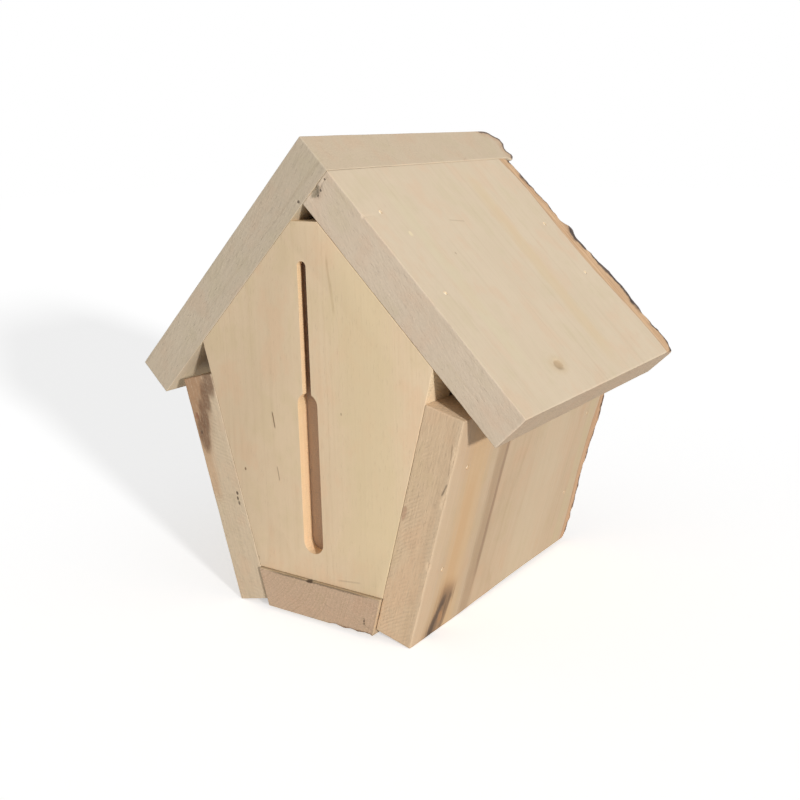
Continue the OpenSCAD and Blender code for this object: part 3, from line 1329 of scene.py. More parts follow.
def place_board(piece: Piece, lay: Lay, edge: LiveEdge | None, body: str,
                node: str) -> None:
    """Notes each point's place in its board, hangs it on its CAD body and hides the node it
    replaces.

    Args:
        piece: the finished board.
        lay: where it lies.
        edge: its live edge, if it has one.
        body: CAD body that it rides on.
        node: CAD node that it replaces.
    """
    mesh = piece.data
    count = len(mesh.vertices)
    points = np.zeros(count * 3)
    mesh.vertices.foreach_get("co", points)
    local = lay.local(points.reshape(-1, 3))
    grain = mesh.attributes.new("grain", "FLOAT_VECTOR", "POINT")
    grain.data.foreach_set("vector", local.ravel())
    under = mesh.attributes.new("under_bark", "FLOAT", "POINT")
    under.data.foreach_set("value", bark_cover(mesh, local, edge))
    mark_arrises(mesh)
    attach(piece, body)
    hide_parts(node)
    log.info("%s: %d faces, replaces %s", piece.name, len(mesh.polygons), node)


def bark_cover(mesh: bpy.types.Mesh, local: Array, edge: LiveEdge | None) -> Array:
    """Depth of each point below the bark's surface.

    Args:
        mesh: the board's mesh, with its bark faces marked.
        local: places of its points on the board.
        edge: its live edge, if it has one.

    Returns:
        The depths, or a large depth everywhere for a board without a live edge.
    """
    depth = np.full(len(local), FAR)
    if edge is None:
        return depth
    bark = [face for face in mesh.polygons if face.material_index == Side.BARK.value]
    skin = sorted({point for face in bark for point in face.vertices})
    tree = KDTree(len(skin))
    for point in skin:
        tree.insert(local[point], point)
    tree.balance()
    near = np.where(local[:, 1] > edge.sawn_width - 25)[0]
    depth[near] = [tree.find(local[point])[2] for point in near]
    return depth


def mark_arrises(mesh: bpy.types.Mesh) -> None:
    """Shades a mesh smoothly, apart from its sharp edges.

    Args:
        mesh: the mesh.
    """
    mesh.shade_smooth()
    normals = np.zeros(len(mesh.polygons) * 3)
    mesh.polygons.foreach_get("normal", normals)
    normals = normals.reshape(-1, 3)
    owners: dict[tuple[int, int], list[int]] = {}
    for polygon in mesh.polygons:
        for key in polygon.edge_keys:
            owners.setdefault(key, []).append(polygon.index)
    limit = math.cos(STEEP)
    sharp = []
    for edge in mesh.edges:
        beside = owners.get(edge.key, [])
        sharp.append(len(beside) != 2 or float(normals[beside[0]] @ normals[beside[1]]) < limit)
    mark = mesh.attributes.get("sharp_edge") or mesh.attributes.new("sharp_edge", "BOOLEAN", "EDGE")
    mark.data.foreach_set("value", sharp)


@dataclass
class Board:
    """What all boards have in common: each is made as a bare solid, then cut and dressed.

    Attributes:
        node: CAD node that it replaces.
        slot: name of a material slot, which is not used.
        lay: where it lies.
        timber: its wood.
        edge: its live edge, if it has one.
        nails: nails that go into it, each by the lay of the first board on its way and its place.
        body: CAD body that it rides on.
        fourth: how the surfaces came about that count as its bark side.
    """

    node: str
    slot: str
    lay: Lay
    timber: Timber
    edge: LiveEdge | None
    nails: tuple[Nailing, ...]

    body: ClassVar[str] = "house"
    fourth: ClassVar[Cut] = Cut.BARK

    def build(self) -> Piece:
        """Makes the board, cuts its openings and nail holes, and dresses it.

        Returns:
            The new piece.
        """
        piece = self._bare()
        paint_board(piece, self.timber, self.fourth)
        self._open(piece)
        if self.nails:
            carve(piece, [NailHole().cutter(lay, place) for lay, place in self.nails])
        place_board(piece, self.lay, self.edge, self.body, self.node)
        return piece

    def _bare(self) -> Piece:
        """Makes the bare solid."""
        raise NotImplementedError

    def _open(self, piece: Piece) -> None:
        """Cuts the board's openings, if it has any."""


@dataclass
class LiveEdgeBoard(Board):
    """A rough board with one straight edge at the back and one live edge at the front.

    Attributes:
        start: its first place along the grain.
        end: its last place along the grain.
        dents: hollows in its surface.
        askew: places across the board, and how much shorter its last end is there.
        thickness: its thickness.
        ease: radius of its arrises.
        station_step: widest space between cross-sections.
        grid_step: widest space between grid lines on its faces.
    """

    start: float
    end: float
    dents: tuple[Dent, ...] = ()
    askew: Askew = SQUARE
    thickness: float = BOARD
    ease: float = 0.8
    station_step: float = 1.7
    grid_step: float = 13.0

    def _bare(self) -> Piece:
        """Makes the bare plank."""
        return Plank(f"{self.node}_wood", self.lay, self._sections(), self.ease, self.dents,
                     self.timber.seed, self.edge.rough, askew=self.askew).build()

    def _gathered(self, dents: Iterable[Dent], way: int) -> list[Place]:
        """Places of closer grid lines round some dents, along the board or across it."""
        return [(d.place[way], d.reach[way] * 1.3, max(0.25, d.reach[way] / 6)) for d in dents]

    def _sections(self) -> Sections:
        """Makes the cross-sections, closer together at the ends and round the dents.

        Returns:
            The cross-sections.
        """
        rim = self.ease * np.array(ARRIS_LINES)
        stations = graded(self.start, self.end, self.station_step, self._gathered(self.dents, 0))
        stations = np.unique(np.concatenate([
            [self.start, self.end], self.start + rim, self.end - rim,
            stations[(stations > self.start + rim[-1]) & (stations < self.end - rim[-1])],
        ]))
        width = self.edge.sawn_width
        faced = [d for d in self.dents if d.place[2] < 3]
        edged = [d for d in self.dents if d.place[1] < 3]
        closer = self._gathered(faced, 1) + [(width - 3, 3, 1.0)]
        lines = graded(ARRIS_LINES[-1] * self.ease, width, self.grid_step, closer)
        turns = np.array([0, 8, 16, 25, 35, 46, 58, 70, 80, 90], float)
        shares = np.array([0.1, 0.22, 0.35, 0.5, 0.65, 0.8, 0.91, 1.0])
        bark = self.edge.profile(stations, turns, shares, self.thickness)
        corner = self.ease * arris_wear(stations, (14, 9, 9), self.timber.seed)
        outer = self._face(lines, corner, self.edge.sawn(stations), 0)
        inner = self._face(lines, corner, bark[:, -1, 0], self.thickness)
        back = self._edge(self._back_lines(bark.shape[1], edged), corner)
        return Sections(stations, outer, bark, inner, back)

    def _back_lines(self, deep: int, edged: Sequence[Dent]) -> Array:
        """Lays lines down the back edge, gathered round its dents.

        Args:
            deep: number of points on the bark side, which the back edge has to match.
            edged: dents in the back edge.

        Returns:
            Depths of the lines between the two arrises.
        """
        low, high = ARRIS_LINES[-1] * self.ease, self.thickness - ARRIS_LINES[-1] * self.ease
        even = np.linspace(low, high, deep - 4)
        for dent in edged:
            pull = np.exp(-(((even - dent.place[2]) / 5.0) ** 2))
            even[1:-1] = (even + (dent.place[2] - even) * 0.45 * pull)[1:-1]
        return np.maximum(even, low + 0.45 * np.arange(len(even)))

    def _arris(self, corner: Array, turns: Spot) -> tuple[Array, Array]:
        """How far in and how far down the points of a rounded arris lie, at turns in degrees."""
        radius, angles = corner[:, None], np.radians(turns)
        return radius * (1 - np.cos(angles))[None, :], radius * (1 - np.sin(angles))[None, :]

    def _face(self, lines: Array, corner: Array, width: Array, level: float) -> Array:
        """Outer or inner side of all cross-sections, from the back arris to the bark.

        Args:
            lines: places of the grid lines across a face of the usual width.
            corner: radius of the arris at each station.
            width: the face's own width at each station.
            level: depth of the face.

        Returns:
            The side, as station, point and (across, down).
        """
        rounded, drop = self._arris(corner, (45.0, 67.5))
        share = (lines / self.edge.sawn_width) ** 2
        flat = lines[None, :] + (width[:, None] - self.edge.sawn_width) * share[None, :]
        across = np.concatenate([rounded, flat], axis=1)
        down = np.concatenate([drop, np.zeros_like(flat)], axis=1)
        return np.stack([across, down if level == 0 else level - down], axis=-1)

    def _edge(self, downs: Array, corner: Array) -> Array:
        """Back edge of all cross-sections, from the outer arris to the inner one.

        Args:
            downs: depths of the grid lines.
            corner: radius of the arrises at each station.

        Returns:
            The side, as station, point and (across, down).
        """
        rounded, drop = self._arris(corner, (45.0, 22.5))
        flat = np.tile(downs, (len(corner), 1))
        across = np.concatenate([rounded, np.zeros_like(flat), rounded[:, ::-1]], axis=1)
        down = np.concatenate([drop, flat, self.thickness - drop[:, ::-1]], axis=1)
        return np.stack([across, down], axis=-1)


@dataclass
class Panel(Board):
    """A six-sided board that fills the house's back or front, with its grain upright.

    Attributes:
        outline: its corners, as along and across.
        openings: slots and holes that are cut one after the other.
        thickness: its thickness.
        ease: radius of its arrises.
        edge_step: widest space between points on its outline.
    """

    outline: tuple[Spot, ...]
    openings: tuple[RoundSlot, ...]
    thickness: float = BOARD
    ease: float = 0.45
    edge_step: float = 7.0

    fourth: ClassVar[Cut] = Cut.ROUTED

    def _bare(self) -> Piece:
        """Makes the bare panel."""
        return ring_stack(f"{self.node}_wood", self.lay, self._rings())

    def _open(self, piece: Piece) -> None:
        """Tells the panel's sides apart and cuts its openings.

        Args:
            piece: the panel.
        """
        self._tag_sides(piece)
        for opening in self.openings:
            carve(piece, [opening.cutter(self.lay)], Side.BARK)

    def _rings(self) -> list[Array]:
        """Lays the outline from the outer face down to the inner one, with eased arrises.

        Returns:
            Rings, as rows of along, across and down.
        """
        arris = [(self.ease * (1 - math.sin(turn)), self.ease * (1 - math.cos(turn)))
                 for turn in (math.radians(degrees) for degrees in (0.0, 30.0, 60.0, 90.0))]
        return [self._ring(inset, down) for inset, down in arris] + [
            self._ring(inset, self.thickness - down) for inset, down in reversed(arris)
        ]

    def _ring(self, inset: float, down: float) -> Array:
        """Moves the outline inwards and puts points along it.

        Args:
            inset: how far it is moved in.
            down: its depth.

        Returns:
            Rows of along, across and down.
        """
        corners = np.array(self.outline)
        ahead = np.roll(corners, -1, axis=0) - corners
        lengths = np.linalg.norm(ahead, axis=1)
        ahead /= lengths[:, None]
        inward = np.column_stack([-ahead[:, 1], ahead[:, 0]])
        before = np.roll(inward, 1, axis=0)
        moved = corners + inset * (before + inward) / (1 + (before * inward).sum(axis=1))[:, None]
        points = []
        for corner, following, length in zip(moved, np.roll(moved, -1, axis=0), lengths):
            steps = max(2, round(float(length) / self.edge_step))
            points += [corner + (following - corner) * k / steps for k in range(steps)]
        return np.column_stack([np.array(points), np.full(len(points), down)])

    def _tag_sides(self, piece: Piece) -> None:
        """Gives each face the material of the side that it looks to.

        Args:
            piece: the panel.
        """
        along, _, down = (Vector(axis) for axis in self.lay.axes())
        for face in piece.data.polygons:
            if abs(face.normal @ down) > 0.7:
                side = Side.INNER if face.normal @ down > 0 else Side.OUTER
            elif abs(face.normal @ along) > 0.4:
                side = Side.END if face.normal @ along > 0 else Side.START
            else:
                side = Side.BACK
            face.material_index = side.value


@dataclass(frozen=True)
class RoundSlot:
    """An opening with round ends, or a round hole where both ends are the same.

    Attributes:
        width: its width.
        low: along and across of its lower round end's centre.
        high: along of its upper round end's centre.
        near: how deep it starts, below zero where it opens in the outer face.
        far: how deep it ends.
        mouth: how far its rim at the outer face is eased.
        around: number of points round its outline.
    """

    width: float
    low: Spot
    high: float
    near: float
    far: float
    mouth: float = 0.12
    around: int = 64

    def cutter(self, lay: Lay) -> Piece:
        """Makes the solid that cuts the opening.

        Args:
            lay: lay of the board.

        Returns:
            The new object.
        """
        mouth = self.mouth
        levels = [(self.near, 0.0), (self.far, 0.0)]
        if self.near < 0:
            levels = [(self.near, mouth), (0.0, mouth), (mouth * 0.4, mouth * 0.3), (mouth, 0.0),
                      (self.far, 0.0)]
        return ring_stack("opening", lay, [self._ring(wider, down) for down, wider in levels])

    def _ring(self, wider: float, down: float) -> Array:
        """Draws the slot's outline at some depth.

        Args:
            wider: how much larger its round ends are there.
            down: the depth.

        Returns:
            Rows of along, across and down.
        """
        radius = self.width / 2 + wider
        angles = np.linspace(0, 2 * math.pi, self.around, endpoint=False) - math.pi / 2 + 1e-4
        middle = np.where(np.cos(angles) > 0, self.high, self.low[0])
        return np.column_stack([
            middle + radius * np.cos(angles), self.low[1] + radius * np.sin(angles),
            np.full(self.around, down),
        ])


def eased_corner(before: Array, corner: Array, after: Array, radius: float) -> Array:
    """Rounds one corner of a cross-section.

    Args:
        before: the corner before it.
        corner: the corner.
        after: the corner after it.
        radius: radius of the rounding.

    Returns:
        Five points from the first side to the second.
    """
    back = (before - corner) / np.linalg.norm(before - corner)
    ahead = (after - corner) / np.linalg.norm(after - corner)
    half = math.acos(float(np.clip(back @ ahead, -1, 1))) / 2
    middle = (back + ahead) / np.linalg.norm(back + ahead)
    centre = corner + middle * radius / math.sin(half)
    start = corner + back * radius / math.tan(half) - centre
    end = corner + ahead * radius / math.tan(half) - centre
    ways = [start * (1 - share) + end * share for share in np.linspace(0, 1, 5)]
    return np.array([centre + way / np.linalg.norm(way) * radius for way in ways])


@dataclass
class FloorBoard(Board):
    """The floor that slides out for cleaning: a plank bevelled to ride between leaning walls.

    Attributes:
        plan: the house's measures.
        dents: chips in its arrises.
        length: its length, along its grain.
        ease: radius of its arrises.
    """

    plan: HousePlan
    dents: tuple[Dent, ...]
    length: float = 175.0
    ease: float = 0.6

    body: ClassVar[str] = "clean_out_floor"
    fourth: ClassVar[Cut] = Cut.SAWN

    def _bare(self) -> Piece:
        """Makes the bare floor."""
        return Plank(f"{self.node}_wood", self.lay, self._sections(), self.ease, self.dents,
                     self.timber.seed).build()

    def _sections(self) -> Sections:
        """Makes the cross-sections, closer together at both ends.

        Returns:
            The cross-sections.
        """
        first = np.append(self.ease * np.array((0.0, *ARRIS_LINES)), np.arange(1.4, 4.0, 0.5))
        middle = graded(5.0, self.length - 5.0, 4.0)
        stations = np.unique(np.concatenate([first, middle, self.length - first]))
        top = self.plan.between_walls(self.plan.floor_top, self.plan.slide_gap)
        foot = self.plan.between_walls(self.plan.floor_lift, self.plan.slide_gap)
        deep = self.plan.thickness
        corners = np.array([[-top, 0.0], [top, 0.0], [foot, deep], [-foot, deep]])
        sides: list[list[Array]] = [[], [], [], []]
        for radius in self.ease * arris_wear(stations, (12, 9, 9), self.timber.seed):
            arcs = [eased_corner(corners[i - 1], corners[i], corners[(i + 1) % 4], radius)
                    for i in range(4)]
            for i, count in enumerate((46, 12, 46, 12)):
                first, last = arcs[i][2:], arcs[(i + 1) % 4][:3]
                share = np.linspace(0, 1, count)[1:-1, None]
                between = first[-1] + (last[0] - first[-1]) * share
                sides[i].append(np.concatenate([first, between, last]))
        outer, bark, inner, back = (np.array(side) for side in sides)
        return Sections(stations, outer, bark, inner[:, ::-1], back[:, ::-1])


# The warm brown bark of both walls
WALL_BARK: dict[str, float | Colour] = {
    "bark_start": 0.42, "bark": srgb(122, 90, 68), "bark_dark": srgb(84, 60, 48),
    "inner_bark": srgb(198, 160, 124), "inner_bark_dark": srgb(170, 130, 98),
}


@dataclass(frozen=True)
class NailSteel:
    """Bright drawn wire with duller patches."""

    colour: Colour = srgb(250, 238, 214)
    dull: Colour = srgb(226, 210, 184)
    roughness: float = 0.45

    def material(self) -> Material:
        """Makes the material.

        Returns:
            The material.
        """
        shade = Shader(bpy.data.materials.new("nail_steel"))
        metres = shade.node("TexCoord").outputs["Object"]
        shade.place = shade.vector("MULTIPLY", metres, (1 / MM, 1 / MM, 1 / MM))
        patch = shade.grain((1.6, 1.6, 1.6), 3.0, 3.0, 0.6)
        fine = shade.grain((0.25, 0.25, 0.25), 7.0, 2.0, 0.5)
        colour = shade.tint(self.colour, (self.dull, patch, 0.42, 0.7, 1.0))
        rough = shade.plus(self.roughness - 0.1, patch, 0.3)
        return shade.finish(colour, rough, fine, WIRE_LIFT, 0.5, 1.0)


@dataclass
class Nails:
    """The nails, which keep the shape that the frame gives them."""

    nodes: tuple[str, ...] = (
        "left_wall_nails", "right_wall_nails", "long_roof_nails", "short_roof_nails",
        "ridge_nails",
    )
    steel: NailSteel = NailSteel()

    def build(self) -> list[Piece]:
        """Gives the nails their steel.

        Returns:
            The frame's own nail objects.
        """
        metal = self.steel.material()
        dressed = [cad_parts[name] for name in self.nodes]
        for nail in dressed:
            nail.data.materials.clear()
            nail.data.materials.append(metal)
        return dressed


@dataclass
class NailPlan:
    """Places of all nails, each as along and across on the board that it goes into first.

    Attributes:
        plan: the house's measures.
        back_wall: heights, up a wall, of the nails into the back panel.
        front_wall: heights of the nails into the front panel.
        back_roof: places down a roof board of the nails into the back panel.
        front_roof: places of the nails into the front panel.
        ridge_inset: how far from the ridge the nails through the long board are.
        ridge_count: number of them.
        ridge_width: width over which they are spread.
    """

    plan: HousePlan
    back_wall: tuple[float, ...] = (43.0, 101.8)
    front_wall: tuple[float, ...] = (43.2, 96.6)
    back_roof: tuple[float, ...] = (50.0, 101.0)
    front_roof: tuple[float, ...] = (73.0, 110.0)
    ridge_inset: float = 11.0
    ridge_count: int = 3
    ridge_width: float = SAWN_WIDTH

    def _across(self, front: bool) -> float:
        """Place across a wall or roof board of the nails into one panel."""
        inset = self.plan.nail_inset
        return self.plan.front_face - inset if front else inset

    def wall(self, hand: Hand, front: bool) -> tuple[Nailing, ...]:
        """Nails of one wall into one panel."""
        lay, heights = self.plan.wall_lay(hand), self.front_wall if front else self.back_wall
        return tuple((lay, (self.plan.wall_length - h, self._across(front))) for h in heights)

    def roof(self, hand: Hand, front: bool) -> tuple[Nailing, ...]:
        """Nails of one roof board into one panel."""
        lay, places = self.plan.roof_lay(hand), self.front_roof if front else self.back_roof
        return tuple((lay, (s, self._across(front))) for s in places)

    def ridge(self) -> tuple[Nailing, ...]:
        """Nails through the long roof board into the short one's end."""
        lay, width, count = self.plan.roof_lay(Hand.RIGHT), self.ridge_width, self.ridge_count
        return tuple((lay, (self.ridge_inset, width * (i + 0.5) / count)) for i in range(count))

    def into_panel(self, front: bool) -> tuple[Nailing, ...]:
        """All nails that end in one panel."""
        return sum((self.wall(hand, front) + self.roof(hand, front) for hand in Hand), ())


@dataclass
class Walls:
    """The two leaning walls.

    Attributes:
        plan: the house's measures.
        nails: places of the nails.
        bulges: how far the bark stands out at the walls' tops and one long board further on.
        left_marks: the left wall's live edge, as LiveEdge's marks.
    """

    plan: HousePlan
    nails: NailPlan
    bulges: Spot = (17.0, 17.0)
    left_marks: tuple[Place, ...] = (
        (0, 171.5, 184), (27, 170.8, 183), (31, 170.5, 185.9), (34, 170.1, 185.5),
        (37, 169.8, 186.4), (42, 169.5, 187.2), (45, 169.4, 187.6), (50, 169.2, 187.4),
        (53, 169.2, 187.4), (56, 169.3, 188.2), (58, 169.3, 185), (61, 169.3, 183.4),
        (64, 169.3, 185.3), (67, 169.4, 185.1), (70, 169.4, 185.6), (72, 169.4, 185.2),
        (75, 169.7, 182.4), (78, 170.0, 182.6), (81, 170.3, 183.3), (84, 170.6, 185.1),
        (87, 170.9, 186.2), (90, 171.3, 186.4), (93, 171.8, 186.7), (96, 172.2, 185.3),
        (99, 172.7, 186.3), (102, 172.9, 187), (105, 173.1, 188), (108, 173.2, 187),
        (111, 173.3, 187.1), (114, 173.4, 187.5), (120, 173.6, 187), (126, 173.7, 186.6),
        (131, 173.8, 186.4),
    )

    def build(self) -> list[Piece]:
        """Makes both walls.

        Returns:
            The new pieces.
        """
        chips = (
            Dent((79.7, 0, 0), (3.0, 1.8, 2.6), 0.7, 0.5),
            Dent((43, 0, 0), (4.5, 1.6, 2.4), 0.6, 0.6),
            Dent((20, 0, 0), (8.0, 1.6, 2.4), 0.6, 0.6),
            Dent((117.5, 24.7, 0), (6.5, 2.6, 2), 0.35, 0.4),
        )
        askew = ((0, 45, 70, 114, 190), (0, 0, 1.1, 2.5, 2.7))
        left_edge = LiveEdge(4, self.bulges, self.left_marks)
        return [
            self._wall(Hand.LEFT, self._left_timber(), left_edge, chips, askew),
            self._wall(Hand.RIGHT, self._right_timber(), LiveEdge(3, self.bulges), (), SQUARE),
        ]

    def _wall(self, hand: Hand, timber: Timber, edge: LiveEdge, dents: tuple[Dent, ...],
              askew: Askew) -> Piece:
        """Makes one wall, whose node has the name of its wood."""
        nails = self.nails.wall(hand, False) + self.nails.wall(hand, True)
        return LiveEdgeBoard(timber.name, "walls", self.plan.wall_lay(hand), timber, edge, nails,
                             0.0, self.plan.wall_length, dents, askew).build()

    def _left_timber(self) -> Timber:
        """Wood of the wall that the photograph shows from outside.

        Returns:
            The wood.
        """
        return Timber(
            "left_wall", srgb(190, 166, 137), srgb(226, 197, 162), srgb(228, 200, 166),
            (70, 95), 11.0,
            stains=(
                Stain((-30, 120, 0), (160, 112, 0), 34.0, srgb(198, 180, 152), 0.5, 5.0),
                Stain((-30, 4, 0), (160, 5, 0), 11.0, srgb(206, 178, 146), 0.5, 2.0),
                Stain((-30, 25, 0), (160, 28, 0), 17.0, srgb(202, 166, 122), 0.55, 2.0),
                Stain((30, 24, 0), (130, 27, 0), 7.0, srgb(190, 148, 104), 0.3, 1.5),
                Stain((-35, 51.0, 0), (165, 52.5, 0), 8.5, srgb(158, 132, 104), 0.6, 1.4),
                Stain((-40, 55.6, 0), (125, 56.2, 0), 2.2, srgb(122, 94, 72), 0.5, 0.7),
                Stain((94, 30.0, 0), (154, 12.0, 0), 13.0, srgb(158, 118, 80), 0.55, 2.0),
                Stain((99, 30.0, 0), (150, 13.0, 0), 9.0, srgb(116, 92, 70), 0.75, 3.2),
                Stain((106, 25.0, 0), (146, 11.0, 0), 4.6, srgb(56, 44, 38), 0.7, 3.2),
                Stain((106, 33.0, 0), (132, 27.0, 0), 3.4, srgb(92, 72, 54), 0.6, 2.0),
                Stain((-20, 161, 0), (150, 165, 0), 7.0, srgb(188, 170, 136), 0.55, 1.5),
                Stain((12, 0, 3.2), (31, 0, 1.2), 0.55, srgb(140, 110, 84), 0.6, 0.4),
                Stain((33, 0, 0.9), (41, 0, 2.6), 0.6, srgb(96, 74, 58), 0.85, 0.2),
                Stain((-20, 0, 0.8), (140, 0, 0.8), 2.6, srgb(236, 212, 180), 0.25, 1.4),
            ),
            knots=(
                Knot((110, 25.5, 0), (4.5, 2.6, 3.0), srgb(84, 66, 52), 0.5),
                Knot((121, 26, 0), (4.4, 2.6, 3.0), srgb(176, 132, 92), 0.5),
                Knot((58.4, 0, 20.6), (5.0, 2.0, 1.7), srgb(176, 130, 104), 0.5),
            ),
            arcs=(2.55, 0.45), slant=-0.65, dashes=(0.05, 0.4), lines=0.24, speckle=0.3,
            **WALL_BARK,
        )

    def _right_timber(self) -> Timber:
        """Wood of the wall that shows its back edge in the photograph.

        Returns:
            The wood.
        """
        brown, speck = srgb(130, 98, 74), srgb(80, 62, 46)
        return Timber(
            "right_wall", srgb(204, 182, 152), srgb(220, 198, 168), srgb(206, 180, 152),
            (60, 80), 23.0,
            stains=(
                Stain((20, 0, 4), (74, 0, 2), 7.0, srgb(206, 166, 128), 0.6, 1.5),
                Stain((2, 0, 17.0), (29, 0, 5.0), 0.5, srgb(70, 52, 40), 0.8, 0.8),
            ),
            knots=(
                Knot((-4, 0, 0), (54, 7, 20), srgb(178, 138, 104), 0.9),
                Knot((3, 0, 18), (12, 7, 4.6), brown, 0.85),
                Knot((12, 0, 13), (11, 7, 3.6), brown, 0.85),
                Knot((22, 0, 8.5), (12, 7, 3.6), brown, 0.85),
                Knot((32, 0, 4.8), (13, 7, 4.6), brown, 0.85),
                Knot((21.8, 0, 2.8), (2.6, 2, 1.8), srgb(140, 84, 60), 0.6),
                Knot((31, 0, 3.4), (1.4, 2, 0.9), srgb(78, 58, 46), 0.7),
                Knot((67.6, 0, 18.6), (1.4, 1, 0.8), speck, 0.9),
                Knot((70.6, 0, 18.0), (1.3, 1, 0.8), speck, 0.9),
                Knot((73.4, 0, 18.2), (1.5, 1, 0.9), speck, 0.85),
            ),
            arcs=(2.4, 0.4), slant=-0.2, dashes=(0.05, 0.3), **WALL_BARK,
        )


@dataclass
class Roof:
    """The two roof boards, of which the long one covers the short one's end at the ridge.

    Attributes:
        plan: the house's measures.
        nails: places of the nails.
        bulges: how far the bark stands out at the ridge and one long board further on.
        short_marks: the short board's live edge, as LiveEdge's marks.
    """

    plan: HousePlan
    nails: NailPlan
    bulges: Spot = (15.0, 25.0)
    short_marks: tuple[Place, ...] = (
        (22, 166.5, 184), (25, 166.8, 183), (28, 167.0, 184.5), (31, 167.9, 184.8),
        (35, 169.0, 182.8), (38, 169.3, 184.1), (41, 169.6, 183.5), (44, 169.9, 184.2),
        (48, 169.9, 184.5), (51, 169.8, 184.7), (54, 169.6, 186), (58, 169.5, 186.5),
        (61, 169.4, 185.8), (67, 169.1, 186.1), (70, 169.0, 185.9), (74, 168.8, 186.3),
        (77, 168.7, 195), (80, 168.6, 192.2), (83, 168.6, 188.5), (87, 168.6, 189),
        (90, 168.6, 189.5), (93, 168.6, 190.4), (97, 168.6, 189.1), (100, 168.6, 192.6),
        (103, 168.7, 192.3), (106, 168.8, 192.8), (110, 169.1, 193), (113, 169.5, 194.5),
        (116, 169.8, 194.4), (119, 170.1, 195), (122, 170.5, 195.5), (129, 171.5, 195.5),
        (132, 171.8, 193.2), (135, 172.2, 192.8), (138, 172.5, 191.8), (141, 172.9, 194.7),
        (144, 173.2, 190.2), (147, 173.4, 190.2), (150, 173.7, 192.6), (153, 173.9, 190.4),
        (157, 174.0, 191), (160, 174.0, 192.1), (163, 174.0, 190.7), (166, 174.0, 194),
        (168, 173.8, 191.8), (171, 173.4, 188), (175, 173.0, 187.5),
    )

    def build(self) -> list[Piece]:
        """Makes both boards.

        Returns:
            The new pieces.
        """
        plan, ridge = self.plan, self.nails.ridge()
        through = {h: self.nails.roof(h, False) + self.nails.roof(h, True) for h in Hand}
        start = plan.thickness + plan.nailed_fit
        long = LiveEdgeBoard(
            "long_roof_board", "roof", plan.roof_lay(Hand.RIGHT), self._long_timber(),
            LiveEdge(1, self.bulges), through[Hand.RIGHT] + ridge, 0.0, plan.long_board,
            (
                Dent((23.3, 0, 19.6), (1.0, 1.6, 0.9), 0.5, 0.4),
                Dent((0.5, 181, 19.7), (5.0, 6.0, 3.2), -4.2, 0.15),
                Dent((0, 181.5, 3.6), (7.0, 6.0, 3.4), 1.7, 0.4),
                Dent((0, 184.5, 9.8), (7.0, 6.0, 4.2), -1.9, 0.4),
            ),
            ease=0.5,
        )
        short = LiveEdgeBoard(
            "short_roof_board", "roof", plan.roof_lay(Hand.LEFT), self._short_timber(),
            LiveEdge(2, self.bulges, self.short_marks), through[Hand.LEFT] + ridge,
            start, start + plan.short_board,
            (
                Dent((154.9, 58.1, 0), (3.8, 4.6, 2.0), 0.75, 0.2),
                Dent((23.4, 0, 12.4), (4.2, 2.5, 4.4), 1.1, 0.8),
                Dent((23.9, 0, 4.0), (0.9, 1.5, 0.9), 0.6, 0.3),
                Dent((51.0, 0, 0), (1.3, 1.0, 1.0), 0.5, 0.3),
            ),
        )
        return [long.build(), short.build()]

    def _long_timber(self) -> Timber:
        """Wood of the board that shows its ridge end and back edge.

        Returns:
            The wood.
        """
        return Timber(
            "long_roof", srgb(217, 199, 172), srgb(208, 191, 167), srgb(203, 184, 158),
            (40, 70), 37.0,
            knots=(Knot((23.3, 0, 19.6), (0.9, 2, 0.8), srgb(84, 70, 58), 0.85),),
            arcs=(2.4, 0.12), dashes=(0.3, 0.34), end_marks=0.15, end_band=6.5,
            inner_bark=srgb(204, 170, 138), inner_bark_dark=srgb(168, 136, 110),
        )

    def _short_timber(self) -> Timber:
        """Wood of the board that shows its whole outer face.

        Returns:
            The wood.
        """
        return Timber(
            "short_roof", srgb(214, 195, 168), srgb(225, 205, 180), srgb(190, 168, 143),
            (250, 60), 51.0,
            stains=(
                Stain((60.2, 64.5, 0), (62.7, 79.2, 0), 0.7, srgb(176, 150, 118), 0.35, 0.5),
                Stain((22, 118, 0), (174, 112, 0), 9.0, srgb(214, 190, 152), 0.5, 3.0),
                Stain((30, 36, 0), (160, 30, 0), 8.0, srgb(214, 200, 168), 0.5, 3.0),
            ),
            knots=(
                Knot((154.9, 58.1, 0), (3.3, 4.6, 3.0), srgb(174, 146, 112), 0.65,
                     srgb(206, 182, 146)),
                Knot((23.2, 0, 12.6), (3.2, 2.4, 4.2), srgb(150, 138, 116), 0.85),
                Knot((25.6, 0, 9.4), (0.9, 1.2, 0.8), srgb(84, 72, 60), 0.9),
                Knot((25.9, 0, 12.6), (0.6, 1.2, 1.0), srgb(92, 80, 66), 0.85),
                Knot((23.9, 0, 4.0), (0.7, 1.2, 0.6), srgb(84, 70, 58), 0.85),
                Knot((65.0, 25.0, 0), (2.0, 1.6, 0.8), srgb(232, 214, 178), 0.8),
                Knot((80.7, 48.2, 0), (0.9, 0.8, 0.8), srgb(164, 138, 108), 0.5),
            ),
            arcs=(2.0, 0.12), dashes=(0.3, 0.34), lines=0.06, speckle=0.22, bark_start=0.5,
        )


